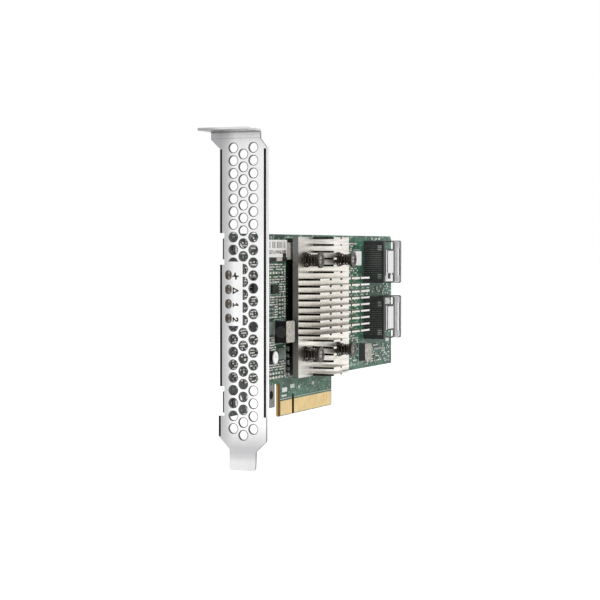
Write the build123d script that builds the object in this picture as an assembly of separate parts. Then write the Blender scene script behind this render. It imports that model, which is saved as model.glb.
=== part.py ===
from build123d import *
import os

# Host bus adapter: a low-profile board on a full-height perforated bracket.
# Millimetres. X is across the board's thickness and points out of its component face,
# Y runs along the board away from the bracket, and Z is up.
# The origin is the middle of the key notch, at the bottom of the card edge.

os.makedirs("parts", exist_ok=True)

# Board
board_thickness = 1.57
board_height = 68.9
board_length = 167.65
key_to_bracket = 57.15
board_lower_edge = 12.7
leg_bottom = 4.0
leg_gap = 4.5
bracket_gap = 0.75
board_corner = 1.5
tooling_hole_diameter = 3.2
tooling_hole_from_leg_end = 3.2
tooling_hole_height = 8.8

# Card edge and its contacts
edge_before_key = 11.65
edge_after_key = 38.65
key_width = 1.9
key_height = 8.0
edge_bevel = 0.4
contact_pitch = 1.0
contact_width = 0.7
contact_length = 5.4
contact_thickness = 0.06
contact_from_key = 0.55
contacts_before_key = 11
contacts_after_key = 38

# Bracket sheet
sheet = 0.86
bend_radius = 0.4
bracket_width = 18.42
bracket_height = 120.02
bracket_below_edge = 14.5
tab_inset = 1.1
return_depth = 2.4
ear_left = 3.06
ear_right_inset = 2.3
ear_height = 3.4
ear_slope = 3.0
flange_depth = 11.43
flange_corner = 1.0
screw_notch_width = 4.42
screw_notch_reach = 5.6
screw_notch_from_face = 5.9
return_bottom = 4.4
taper_left_top = -2.8
taper_right_top = -4.0
taper_left_height = 4.4
taper_right_height = 3.96
tongue_width = 10.19
tongue_from_left = 4.2
tongue_bend_height = 5.2
tongue_bend_out = 0.4
tongue_corner = 1.2

# Tabs that hold the board
tab_width = 7.4
tab_length = 10.5
tab_centres = (63.4, 9.25)
tab_relief = 1.9
tab_relief_depth = 1.1
tab_screw_from_face = 5.6

# Air holes
vent_pitch = 4.495
vent_size = 3.8
vent_rows = 23
vent_side_top = 99.0
vent_middle_column = 9.55
vent_column_step = 3.87

# Light panel
panel_right = 9.27
panel_top = 58.9
panel_height = 22.6
light_count = 4
light_top = 54.2
light_pitch = 5.1
light_width = 2.56
light_height = 3.4
light_column = 3.8
light_fit = 0.06
guide_depth = 2.6
guide_rail_depth = 1.4
guide_rail_height = 2.3
led_length = 2.0
led_width = 1.6
led_height = 1.2

# Bracket screws
screw_diameter = 2.5
screw_head_diameter = 5.0
screw_head_height = 1.8
screw_head_bevel = 0.7
screw_recess = 0.9
screw_recess_width = 0.6
screw_recess_length = 3.0
screw_fit = 0.05
screw_board_hole = 3.2

# Heat sink
sink_start = -7.0
sink_length = 52.5
sink_lift = 3.0
sink_base = 2.3
fin_height = 9.0
fin_count = 21
fin_pitch = 2.64
fin_root = 0.9
fin_tip = 0.7
sink_centre = 41.15
side_fins = 6
side_fin_start = 6.7
side_fin_end = 22.9
pin_row_first = 2
pin_row_last = 4
pin_row_end = 9.6
cross_cuts = (3.3, 14.3, 25.3, 35.0)
cross_cut_width = 1.2
cross_cut_floor = 1.2

# Push pins and springs
pin_centre = 16.2
pin_spread_along = 34.0
pin_spread_up = 36.0
pin_shaft = 2.9
pin_fit = 0.05
pin_board_hole = 3.2
pin_sink_hole = 3.4
pin_head_diameter = 6.2
pin_head_height = 0.9
pin_head_gap = 6.1
pin_dimple_diameter = 3.6
pin_dimple_depth = 0.35
pin_tip_diameter = 1.5
pin_barb_diameter = 3.9
pin_barb_length = 2.4
pin_barb_gap = 0.1
spring_wire = 0.62
spring_base_diameter = 6.2
spring_top_diameter = 4.2
spring_turns = 3

# Controller chip
chip_side = 31.0
chip_substrate = 1.1
chip_mould_side = 27.0
chip_mould = 1.1
pad_side = 24.0

# Serial attached storage connectors
port_tops = (66.7, 42.9)
port_start = 76.1
port_length = 21.5
port_width = 17.8
port_height = 9.1
port_back = 1.9
port_neck_width = 11.0
port_wing_height = 2.4
port_mouth_start = 12.2
port_wall = 0.35
port_corner = 0.7
port_inner_corner = 0.35
port_fit = 0.05
port_core_length = 2.6
port_lip = 0.3
port_lip_length = 0.8
port_slot_width = 9.6
port_slot_height = 1.4
port_slot_depth = 5.2
port_window_length = 2.2
port_window_width = 12.0
port_window_from_mouth = 1.6
lead_count = 18
lead_pitch = 0.8
lead_width = 0.34
lead_thickness = 0.22
lead_foot = 1.2
lead_height = 8.2
lead_groove = 0.46
port_label_length = 6.6
port_label_width = 9.5
port_label_from_start = 5.3
label_thickness = 0.1

# Labels, can-shaped parts and coils, each as start along the board, lower edge, length and width
board_label = (-24.4, 60.2, 18.7, 6.6)
oscillator = (-5.5, 59.3, 3.0, 6.5)
crystal = (64.6, 56.4, 6.0, 6.0)
can_height = 1.3
can_rim = 0.35
can_lid = 0.15
front_coil = (-17.3, 28.1, 7.6, 8.2)
front_coil_height = 5.1
rear_coil = (70.7, 16.0, 7.3, 7.3)
rear_coil_height = 3.1
coil_corner = 0.8
coil_bevel = 0.3
coil_terminal = 0.15
coil_terminal_width = 3.4
coil_terminal_rise = 1.6

# Round capacitor
capacitor_place = (-28.2, 23.4)
capacitor_diameter = 5.0
capacitor_height = 5.4
capacitor_base_side = 5.3
capacitor_base_height = 0.9
capacitor_base_corner = 1.0
capacitor_neck = 0.25
capacitor_neck_height = 1.7

# Chips, as middle along the board, middle height, length and width
flash_chip = (-37.0, 50.0, 5.3, 5.2)
flash_height = 1.8
flash_leads = 4
flash_lead_pitch = 1.27
flash_lead_width = 0.42
flash_lead_reach = 1.3
flash_lead_knee = 0.43
flash_lead_thickness = 0.2
flat_chips = (
    (-18.3, 48.3, 5.2, 3.2), (-38.0, 35.0, 5.0, 5.0), (-29.5, 32.2, 5.0, 6.0), (54.0, 38.0, 5.0, 5.0),
)
flat_chip_height = 0.9
chip_bevel = 0.15

# Small two-ended parts, in banks: the first one's middle along and up, then the last one's
passive_length = 1.6
passive_width = 0.8
passive_height = 0.7
passive_end = 0.35
passive_pitch_along = 2.7
passive_pitch_up = 1.55
capacitor_banks = (
    (-14.0, 39.4, -11.3, 44.05), (-22.5, 54.4, -11.7, 54.4), (-22.6, 15.2, -11.8, 16.75),
    (-45.0, 22.0, -42.3, 25.1), (50.0, 60.5, 52.7, 63.6),
)
resistor_banks = (
    (-23.0, 39.4, -20.3, 40.95), (-45.0, 40.5, -42.3, 42.05),
    (60.0, 44.0, 60.0, 48.65), (88.0, 20.2, 96.1, 20.2),
)
rear_banks = ((8.0, 34.0, 10.7, 37.1),)

# Places worked out from the sizes
component_face = board_thickness / 2
rear_passive_base = -board_thickness - passive_height
solder_face = -board_thickness / 2
bracket_inner = -key_to_bracket
bracket_outer = bracket_inner - sheet
bracket_left = solder_face - sheet - tab_inset
bracket_bottom = -bracket_below_edge
bracket_top = bracket_bottom + bracket_height
ear_bottom = bracket_top - ear_height
body_top = ear_bottom - ear_slope
board_start = bracket_inner + bracket_gap
board_end = board_length - key_to_bracket
edge_start = -(key_width / 2 + edge_before_key)
edge_end = key_width / 2 + edge_after_key
sink_end = sink_start + sink_length
sink_width = (fin_count - 1) * fin_pitch + fin_root
floor_height = sink_lift + sink_base
sink_top = floor_height + fin_height
pin_places = [
    (pin_centre + along * pin_spread_along / 2, sink_centre + up * pin_spread_up / 2)
    for along in (-1, 1)
    for up in (-1, 1)
]
screw_places = [(bracket_inner + tab_screw_from_face, centre) for centre in tab_centres]
port_centres = [top - port_width / 2 for top in port_tops]

# On this plane the board's length is x, its height is y and a part's height is z
board_plane = Plane(origin=(component_face, 0, 0), x_dir=(0, 1, 0), z_dir=(1, 0, 0))
# On this plane x runs across the bracket from its left edge and y is up
face_plane = Plane(origin=(bracket_left, bracket_outer, 0), x_dir=(1, 0, 0), z_dir=(0, -1, 0))


def seat(shape):
    """Carry a shape drawn over the board's face to its place on the board."""
    return board_plane.location * shape


def slab(start, bottom, length, width, height, base=0):
    """A square-edged solid on the board, from its near lower corner."""
    return Pos(start, bottom, base) * Box(length, width, height, align=(Align.MIN, Align.MIN, Align.MIN))


def centred(along, up, length, width, height, base=0):
    """A square-edged solid on the board, about its middle."""
    return slab(along - length / 2, up - width / 2, length, width, height, base)


def turned(points):
    """A solid of revolution about a part's own upright line, from radius and height pairs."""
    outline = make_face(Plane.XZ * Polyline(*points, close=True))
    return revolve(outline, Axis.Z)


def save(name, shapes):
    """Write one node."""
    group = shapes if isinstance(shapes, list) else [shapes]
    solids = [solid for shape in group for solid in shape.solids()]
    body = solids[0] if len(solids) == 1 else Compound(children=solids)
    body.label = name
    export_step(body, "parts/" + name + ".step")


# Bracket
def channel(left, left_depth, right_depth):
    """Section of the bracket: its face with the edges that fold back."""
    right = bracket_width
    points = [(left, 0), (right, 0)]
    if right_depth:
        points += [(right, right_depth), (right - sheet, right_depth), (right - sheet, sheet)]
    else:
        points += [(right, sheet)]
    if left_depth:
        points += [(left + sheet, sheet), (left + sheet, left_depth), (left, left_depth)]
    else:
        points += [(left, sheet)]
    section = make_face(Polyline(*points, close=True))
    corners = []
    if right_depth:
        corners += [(right, 0, sheet + bend_radius), (right - sheet, sheet, bend_radius)]
    if left_depth:
        corners += [(left, 0, sheet + bend_radius), (left + sheet, sheet, bend_radius)]
    for x, y, radius in corners:
        corner = section.vertices().sort_by_distance((x, y, 0))[0]
        section = fillet(corner, radius)
    return section


def run(section, bottom, top):
    """A stretch of the bracket with one section."""
    place = Pos(bracket_left, bracket_outer, bottom)
    return place * extrude(section, top - bottom)


def sheet_part(outline, profile):
    """Sheet with a front outline and a folded side profile."""
    front = extrude(face_plane * outline, flange_depth + sheet, both=True)
    side = Plane.YZ * profile
    return front & extrude(side, 2 * bracket_width, both=True)


def bracket_body():
    """The long channel, cut back where the two tabs fold off its left edge."""
    plain = channel(0, return_depth, return_depth)
    relief = channel(tab_inset + tab_relief_depth, 0, return_depth)
    tab = channel(tab_inset, sheet + tab_length, return_depth)
    stretches = []
    top = body_top
    for centre in tab_centres:
        tab_top = centre + tab_width / 2
        tab_bottom = centre - tab_width / 2
        stretches.append(run(plain, tab_top + tab_relief, top))
        stretches.append(run(relief, tab_top, tab_top + tab_relief))
        stretches.append(run(tab, tab_bottom, tab_top))
        top = max(tab_bottom - tab_relief, return_bottom)
        stretches.append(run(relief, top, tab_bottom))
    body = stretches[0]
    for stretch in stretches[1:]:
        body += stretch
    return body


def bracket_head():
    """The wide ear and the flange that folds outward, with its open screw notch."""
    ear_right = bracket_width - ear_right_inset
    outline = make_face(Polyline(
        (0, body_top), (-ear_left, ear_bottom), (-ear_left, bracket_top),
        (ear_right, bracket_top), (ear_right, ear_bottom), (bracket_width, body_top), close=True))
    flange_end = bracket_outer - flange_depth
    flange_under = bracket_top - sheet
    profile = make_face(Polyline(
        (bracket_inner, body_top), (bracket_inner, bracket_top), (flange_end, bracket_top),
        (flange_end, flange_under), (bracket_outer, flange_under), (bracket_outer, body_top),
        close=True))
    bends = ((bracket_inner, bracket_top, sheet + bend_radius), (bracket_outer, flange_under, bend_radius))
    for y, z, radius in bends:
        profile = fillet(profile.vertices().sort_by_distance((y, z, 0))[0], radius)
    head = sheet_part(outline, profile)
    corners = head.edges().filter_by(Axis.Z).group_by(Axis.Y)[0]
    head = fillet(corners, flange_corner)
    notch_right = bracket_left + ear_right
    notch = Pos(notch_right, bracket_outer - screw_notch_from_face, bracket_top)
    return head - notch * extrude(SlotOverall(2 * screw_notch_reach, screw_notch_width), sheet * 2, both=True)


def bracket_foot():
    """The tapered end and the narrow tongue, bent a little outward."""
    tongue_right = tongue_from_left + tongue_width
    left_shoulder = taper_left_top - taper_left_height
    right_shoulder = taper_right_top - taper_right_height
    outline = make_face(Polyline(
        (0, return_bottom), (0, taper_left_top), (tongue_from_left, left_shoulder),
        (tongue_from_left, bracket_bottom), (tongue_right, bracket_bottom),
        (tongue_right, right_shoulder), (bracket_width, taper_right_top),
        (bracket_width, return_bottom), close=True))
    tips = outline.vertices().group_by(Axis.Y)[0]
    outline = fillet(tips, tongue_corner)
    bend = bracket_bottom + tongue_bend_height
    profile = make_face(Polyline(
        (bracket_outer, return_bottom), (bracket_inner, return_bottom), (bracket_inner, bend),
        (bracket_inner - tongue_bend_out, bracket_bottom),
        (bracket_outer - tongue_bend_out, bracket_bottom), (bracket_outer, bend), close=True))
    return sheet_part(outline, profile)


def vents():
    """Three staggered columns of six-sided holes, left out at the light panel."""
    hexagon = RegularPolygon(vent_size / 2, 6, major_radius=False)
    places = []
    for column in (-1, 0, 1):
        x = vent_middle_column + column * vent_column_step
        top = vent_side_top if column else vent_side_top - vent_pitch / 2
        places += [Pos(x, top - row * vent_pitch) for row in range(vent_rows)]
    panel = Pos(0, panel_top) * Rectangle(panel_right, panel_height, align=(Align.MIN, Align.MAX))
    holes = Sketch() + [place * hexagon for place in places]
    return holes - panel


def windows(grow):
    """The four round-ended openings of the lights, grown or shrunk by a fit."""
    window = SlotOverall(light_height + grow, light_width + grow, rotation=90)
    places = [Pos(light_column, light_top - number * light_pitch) for number in range(light_count)]
    return Sketch() + [place * window for place in places]


def io_bracket():
    body = bracket_body() + bracket_head() + bracket_foot()
    body -= extrude(face_plane * vents(), sheet * 2, both=True)
    body -= extrude(face_plane * windows(0), sheet * 2, both=True)
    tap = Cylinder(screw_diameter / 2 + screw_fit, 2 * tab_inset + 2 * sheet)
    for along, up in screw_places:
        body -= seat(Pos(along, up, -board_thickness - sheet / 2) * tap)
    return body


# Board
def circuit_board():
    leg_end = edge_start - leg_gap
    outline = make_face(Polyline(
        (board_start, leg_bottom), (board_start, board_height),
        (board_end - board_corner, board_height), (board_end, board_height - board_corner),
        (board_end, board_lower_edge), (edge_end, board_lower_edge), (edge_end, 0),
        (edge_start, 0), (edge_start, board_lower_edge), (leg_end, board_lower_edge),
        (leg_end, leg_bottom), close=True))
    key = Pos(0, 0) * SlotOverall(2 * key_height, key_width, rotation=90)
    holes = [key]
    holes += [Pos(*place) * Circle(pin_board_hole / 2) for place in pin_places]
    holes += [Pos(*place) * Circle(screw_board_hole / 2) for place in screw_places]
    tooling = Pos(leg_end - tooling_hole_from_leg_end, tooling_hole_height)
    holes.append(tooling * Circle(tooling_hole_diameter / 2))
    board = extrude(outline - holes, -board_thickness)
    bottom_edges = board.edges().filter_by(Axis.X).group_by(Axis.Y)[0]
    return seat(chamfer(bottom_edges, edge_bevel))


def edge_contacts():
    """Gold contacts on both faces of the card edge, each side of the key."""
    first = key_width / 2 + contact_from_key
    middles = [-first - number * contact_pitch for number in range(contacts_before_key)]
    middles += [first + number * contact_pitch for number in range(contacts_after_key)]
    contacts = []
    for base in (0, -board_thickness - contact_thickness):
        for middle in middles:
            start = middle - contact_width / 2
            contacts.append(slab(start, edge_bevel, contact_width, contact_length, contact_thickness, base))
    return [seat(contact) for contact in contacts]


# Heat sink
def heat_sink():
    """A comb section along the board, cross cut, with the corners cleared for the pins."""
    bottom = sink_centre - sink_width / 2
    rows = [bottom + fin_root / 2 + number * fin_pitch for number in range(fin_count)]
    section = Rectangle(sink_width, sink_base, align=(Align.CENTER, Align.MIN))
    section = Pos(sink_centre, sink_lift) * section
    for row in rows:
        fin = make_face(Polyline(
            (row - fin_root / 2, floor_height - sink_base / 2),
            (row + fin_root / 2, floor_height - sink_base / 2),
            (row + fin_tip / 2, sink_top), (row - fin_tip / 2, sink_top), close=True))
        section += fin
    across = Plane(origin=(sink_start, 0, 0), x_dir=(0, 1, 0), z_dir=(1, 0, 0))
    comb = extrude(across * section, sink_length)
    edge = sink_width / 2
    side = (side_fins - 0.5) * fin_pitch + fin_root / 2
    cleared = Sketch()
    for sign in (-1, 1):
        middle = sink_centre + sign * (edge - side / 2)
        corners = ((sink_start, side_fin_start), (side_fin_end, sink_end))
        for start, end in corners:
            cleared += Pos((start + end) / 2, middle) * Rectangle(end - start, side)
        row_from = edge - (pin_row_first - 0.5) * fin_pitch - fin_root / 2
        row_to = edge - (pin_row_last + 0.5) * fin_pitch - fin_root / 2
        middle = sink_centre + sign * (row_from + row_to) / 2
        reach = side_fin_end - pin_row_end
        cleared += Pos(pin_row_end + reach / 2, middle) * Rectangle(reach, row_from - row_to)
    comb -= Pos(0, 0, floor_height) * extrude(cleared, fin_height)
    cuts = Sketch()
    for place in cross_cuts:
        cuts += Pos(place, sink_centre) * Rectangle(cross_cut_width, sink_width)
    comb -= Pos(0, 0, floor_height + cross_cut_floor) * extrude(cuts, fin_height)
    for place in pin_places:
        comb -= Pos(*place, floor_height) * Cylinder(pin_sink_hole / 2, 4 * sink_base)
    return seat(comb)


def push_pins():
    under = -board_thickness - pin_barb_gap
    head = floor_height + pin_head_gap
    top = head + pin_head_height
    radius = pin_shaft / 2
    pin = turned([
        (0, under - pin_barb_length), (pin_tip_diameter / 2, under - pin_barb_length),
        (pin_barb_diameter / 2, under), (radius, under), (radius, head),
        (pin_head_diameter / 2, head), (pin_head_diameter / 2, top), (pin_dimple_diameter / 2, top),
        (pin_dimple_diameter / 2, top - pin_dimple_depth), (0, top - pin_dimple_depth)])
    return [seat(Pos(*place) * pin) for place in pin_places]


def push_pin_springs():
    """Close wound springs that narrow towards the pin's head, as turns on one sleeve."""
    rise = pin_head_gap / spring_turns
    narrowing = (spring_base_diameter - spring_top_diameter) / 2 / spring_turns
    bore = pin_shaft / 2 + pin_fit
    points = [(bore, floor_height), (spring_base_diameter / 2 - spring_wire, floor_height)]
    for turn in range(spring_turns):
        bottom = floor_height + turn * rise
        radius = spring_base_diameter / 2 - turn * narrowing
        points += [(radius, bottom + rise / 2), (radius - spring_wire, bottom + rise)]
    points.append((bore, floor_height + pin_head_gap))
    spring = turned(points)
    return [seat(Pos(*place) * spring) for place in pin_places]


# Controller
def controller_package():
    substrate = centred(pin_centre, sink_centre, chip_side, chip_side, chip_substrate)
    mould = centred(pin_centre, sink_centre, chip_mould_side, chip_mould_side, chip_mould, chip_substrate)
    return seat(substrate + mould)


def thermal_pad():
    base = chip_substrate + chip_mould
    return seat(centred(pin_centre, sink_centre, pad_side, pad_side, sink_lift - base, base))


# Storage connectors
def lead_rows(centre):
    first = centre - (lead_count - 1) * lead_pitch / 2
    return [first + number * lead_pitch for number in range(lead_count)]


def port_section(start, centre):
    """The plane across a connector, about the middle of its shell."""
    return Plane(origin=(start, centre, port_height / 2), x_dir=(0, 1, 0), z_dir=(1, 0, 0))


def port_housing(centre):
    """Black moulding: a grooved back, low wings, and a neck whose end holds the card slot in the mouth."""
    mouth = port_start + port_mouth_start
    back = centred(port_start + port_back / 2, centre, port_back, port_width, port_height)
    middle = (port_start + port_back + mouth) / 2
    neck_length = port_mouth_start - port_back
    neck = centred(middle, centre, neck_length, port_neck_width, port_height)
    wings = centred(middle, centre, neck_length, port_width, port_wing_height)
    inset = port_wall + port_fit
    core = centred(mouth + port_core_length / 2, centre, port_core_length, port_neck_width,
                   port_height - 2 * inset, inset)
    body = back + neck + wings + core
    grooves = Sketch()
    for row in lead_rows(centre):
        grooves += Pos(port_start, row) * Rectangle(2 * lead_thickness, lead_groove)
    body -= extrude(grooves, port_height)
    slot_base = (port_height - port_slot_height) / 2
    slot_end = mouth + port_core_length
    body -= centred(slot_end, centre, 2 * port_slot_depth, port_slot_width, port_slot_height, slot_base)
    return seat(body)


def port_shell(centre):
    """Folded metal mouth with a turned-out rim and a long latch window in its top."""
    start = port_start + port_mouth_start
    end = port_start + port_length
    length = end - start
    section = Rectangle(port_width, port_height)
    section = fillet(section.vertices(), port_corner)
    hole = Rectangle(port_width - 2 * port_wall, port_height - 2 * port_wall)
    hole = fillet(hole.vertices(), port_inner_corner)
    across = port_section(start, centre)
    shell = extrude(across * section, length)
    rim = Rectangle(port_width + 2 * port_lip, port_height + port_lip, align=(Align.CENTER, Align.MIN))
    rim = fillet(rim.vertices(), port_corner)
    at_mouth = across.offset(length - port_lip_length)
    shell += extrude(at_mouth * (Pos(0, -port_height / 2) * rim), port_lip_length)
    shell -= extrude(across * hole, length)
    shell -= centred(
        end - port_window_from_mouth - port_window_length / 2, centre,
        port_window_length, port_window_width, 4 * port_wall, port_height - 2 * port_wall)
    return seat(shell)


def port_contacts(centre):
    """Bent leads in the grooves of the back, with their feet on the board."""
    profile = make_face(Plane.XZ * Polyline(
        (port_start - lead_foot, 0), (port_start + lead_thickness, 0),
        (port_start + lead_thickness, lead_height), (port_start, lead_height),
        (port_start, lead_thickness), (port_start - lead_foot, lead_thickness), close=True))
    lead = extrude(profile, lead_width / 2, both=True)
    return [seat(Pos(0, row, 0) * lead) for row in lead_rows(centre)]


def port_labels():
    labels = []
    for centre in port_centres:
        start = port_start + port_label_from_start
        labels.append(seat(centred(
            start + port_label_length / 2, centre, port_label_length, port_label_width,
            label_thickness, port_height)))
    return labels


# Lights
def light_guide():
    """Clear moulding: four plugs in the bracket's windows on one rail over the board's edge."""
    plugs = extrude(face_plane * windows(-2 * light_fit), -guide_depth)
    rail_length = (light_count - 1) * light_pitch + light_height
    middle = light_top - (light_count - 1) * light_pitch / 2
    rail_start = bracket_outer + guide_depth
    rail_middle = rail_start + guide_rail_depth / 2
    rail = centred(rail_middle, middle, guide_rail_depth, rail_length, guide_rail_height)
    below = Pos(0, 0, -board_thickness) * centred(
        board_start, middle, 4 * bracket_gap, 2 * rail_length, board_thickness)
    return plugs - seat(below) + seat(rail)


def status_leds():
    start = bracket_outer + guide_depth + guide_rail_depth
    leds = []
    for number in range(light_count):
        up = light_top - number * light_pitch
        leds.append(seat(centred(start + led_length / 2, up, led_length, led_width, led_height)))
    return leds


# Labels, coils, cans and chips
def label_on_board():
    start, bottom, length, width = board_label
    return seat(slab(start, bottom, length, width, label_thickness))


def metal_can(place):
    """Low ceramic tub with a slightly smaller metal lid."""
    start, bottom, length, width = place
    tub = slab(start, bottom, length, width, can_height - can_lid)
    lid = slab(start + can_rim, bottom + can_rim, length - 2 * can_rim, width - 2 * can_rim,
               can_lid, can_height - can_lid)
    return seat(tub + lid)


def coil_body(place, height):
    """Moulded coil with rounded upright corners."""
    start, bottom, length, width = place
    section = Pos(start + length / 2, bottom + width / 2) * Rectangle(length, width)
    section = fillet(section.vertices(), coil_corner)
    body = extrude(section, height)
    return seat(chamfer(body.faces().sort_by(Axis.Z)[-1].edges(), coil_bevel))


def coil_terminals():
    """Tin plates up the lower and upper side of each coil."""
    plates = []
    for start, bottom, length, width in (front_coil, rear_coil):
        near = start + (length - coil_terminal_width) / 2
        for low in (bottom - coil_terminal, bottom + width):
            plates.append(seat(slab(near, low, coil_terminal_width, coil_terminal, coil_terminal_rise)))
    return plates


def round_capacitor_base():
    section = Rectangle(capacitor_base_side, capacitor_base_side)
    near = section.vertices().group_by(Axis.X)[0]
    section = chamfer(near, capacitor_base_corner)
    return seat(Pos(*capacitor_place) * extrude(section, capacitor_base_height))


def round_capacitor_can():
    """Aluminium can with the rolled neck near its foot."""
    radius = capacitor_diameter / 2
    neck = capacitor_neck_height
    can = turned([
        (0, capacitor_base_height), (radius, capacitor_base_height),
        (radius, neck - capacitor_neck), (radius - capacitor_neck, neck), (radius, neck + capacitor_neck),
        (radius, capacitor_height - capacitor_neck), (radius - capacitor_neck, capacitor_height),
        (0, capacitor_height)])
    return seat(Pos(*capacitor_place) * can)


def moulded_chip(place, height):
    """Black chip body with a bevelled top edge."""
    along, up, length, width = place
    body = centred(along, up, length, width, height)
    return seat(chamfer(body.faces().sort_by(Axis.Z)[-1].edges(), chip_bevel))


def chip_leads():
    """Stepped leads on both sides of the memory chip."""
    along, up, length, width = flash_chip
    middle = flash_height / 2
    thick = flash_lead_thickness
    end = length / 2 + flash_lead_reach
    knee = length / 2 + flash_lead_knee
    profile = make_face(Plane.XZ * Polyline(
        (length / 2, middle), (length / 2, middle + thick), (knee + thick, middle + thick),
        (knee + thick, thick), (end, thick), (end, 0), (knee, 0), (knee, middle), close=True))
    lead = extrude(profile, flash_lead_width / 2, both=True)
    first = -(flash_leads - 1) * flash_lead_pitch / 2
    leads = []
    for number in range(flash_leads):
        place = Pos(along, up + first + number * flash_lead_pitch)
        leads += [seat(place * lead), seat(place * lead.mirror(Plane.YZ))]
    return leads


def bank_places(banks):
    """Middles of the small parts in each bank."""
    places = []
    for along, up, last_along, last_up in banks:
        for column in range(round((last_along - along) / passive_pitch_along) + 1):
            for row in range(round((last_up - up) / passive_pitch_up) + 1):
                places.append((along + column * passive_pitch_along, up + row * passive_pitch_up))
    return places


def passive_bodies(banks, base=0):
    middle = passive_length - 2 * passive_end
    return [
        seat(centred(along, up, middle, passive_width, passive_height, base))
        for along, up in bank_places(banks)
    ]


def passive_ends(banks, base=0):
    """Tinned ends of the small parts."""
    ends = []
    offset = (passive_length - passive_end) / 2
    for along, up in bank_places(banks):
        for side in (-offset, offset):
            ends.append(seat(centred(along + side, up, passive_end, passive_width, passive_height, base)))
    return ends


# Fasteners
def bracket_screws():
    hanging = (Align.CENTER, Align.CENTER, Align.MAX)
    standing = (Align.CENTER, Align.CENTER, Align.MIN)
    shank = Cylinder(screw_diameter / 2, board_thickness + sheet, align=hanging)
    head = Cylinder(screw_head_diameter / 2, screw_head_height, align=standing)
    head = chamfer(head.edges().filter_by(GeomType.CIRCLE).group_by(Axis.Z)[-1], screw_head_bevel)
    cross = Rectangle(screw_recess_length, screw_recess_width)
    cross += Rectangle(screw_recess_width, screw_recess_length)
    recess = Pos(0, 0, screw_head_height - screw_recess) * extrude(cross, screw_recess)
    screw = shank + head - recess
    return [seat(Pos(*place) * screw) for place in screw_places]


save("io_bracket", io_bracket())
save("bracket_screws", bracket_screws())
save("circuit_board", circuit_board())
save("edge_contacts", edge_contacts())
save("heat_sink", heat_sink())
save("push_pins", push_pins())
save("push_pin_springs", push_pin_springs())
save("controller_package", controller_package())
save("thermal_pad", thermal_pad())
for place, centre in zip(("upper", "lower"), port_centres):
    save("port_housing_" + place, port_housing(centre))
    save("port_shell_" + place, port_shell(centre))
    save("port_contacts_" + place, port_contacts(centre))
save("port_labels", port_labels())
save("light_guide", light_guide())
save("status_leds", status_leds())
save("board_label", label_on_board())
save("clock_oscillator", metal_can(oscillator))
save("timing_crystal", metal_can(crystal))
save("front_power_coil", coil_body(front_coil, front_coil_height))
save("rear_power_coil", coil_body(rear_coil, rear_coil_height))
save("power_coil_terminals", coil_terminals())
save("round_capacitor_base", round_capacitor_base())
save("round_capacitor_can", round_capacitor_can())
save("flash_memory", moulded_chip(flash_chip, flash_height))
save("flash_memory_leads", chip_leads())
save("power_chips", [moulded_chip(place, flat_chip_height) for place in flat_chips])
save("ceramic_capacitors", passive_bodies(capacitor_banks) + passive_bodies(rear_banks, rear_passive_base))
save("chip_resistors", passive_bodies(resistor_banks))
front_banks = capacitor_banks + resistor_banks
save("passive_ends", passive_ends(front_banks) + passive_ends(rear_banks, rear_passive_base))
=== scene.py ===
"""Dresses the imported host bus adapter: finishes, fine parts, print, floor, lights and camera."""

import math
import random

import bmesh
import bpy
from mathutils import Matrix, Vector


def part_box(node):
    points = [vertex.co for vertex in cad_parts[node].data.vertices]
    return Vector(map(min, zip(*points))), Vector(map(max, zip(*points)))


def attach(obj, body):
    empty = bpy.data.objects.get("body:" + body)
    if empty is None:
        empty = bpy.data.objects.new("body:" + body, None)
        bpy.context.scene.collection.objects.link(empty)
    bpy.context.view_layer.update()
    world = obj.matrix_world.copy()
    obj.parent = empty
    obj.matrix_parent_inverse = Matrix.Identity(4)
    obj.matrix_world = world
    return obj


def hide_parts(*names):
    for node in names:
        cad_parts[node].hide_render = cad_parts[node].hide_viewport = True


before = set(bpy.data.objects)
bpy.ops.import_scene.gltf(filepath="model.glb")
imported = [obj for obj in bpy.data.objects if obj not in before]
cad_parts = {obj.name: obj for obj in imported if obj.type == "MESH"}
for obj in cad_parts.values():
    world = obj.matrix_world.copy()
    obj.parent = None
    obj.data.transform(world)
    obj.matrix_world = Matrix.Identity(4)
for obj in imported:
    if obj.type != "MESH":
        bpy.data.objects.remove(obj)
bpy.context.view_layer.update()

bl_info = {
    "name": "Host Bus Adapter",
    "version": (1, 0, 0),
    "blender": (4, 5, 0),
    "location": "3D View > Sidebar > Adapter",
    "description": "Finishes and fine parts of a host bus adapter",
    "category": "Object",
}

MM = 0.001
ROOT = "root"

BOARD_LOW, BOARD_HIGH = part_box("circuit_board")
SINK_LOW, SINK_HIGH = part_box("heat_sink")
BRACKET_LOW, BRACKET_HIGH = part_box("io_bracket")
FACE = BOARD_HIGH.x
SOLDER = BOARD_LOW.x
BRACKET_SHEET = 0.86 * MM
BRACKET_INNER = BOARD_LOW.y - 0.75 * MM
BRACKET_OUTER = BRACKET_INNER - BRACKET_SHEET
SHEET_LEFT = BRACKET_LOW.x + 3.06 * MM

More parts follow.
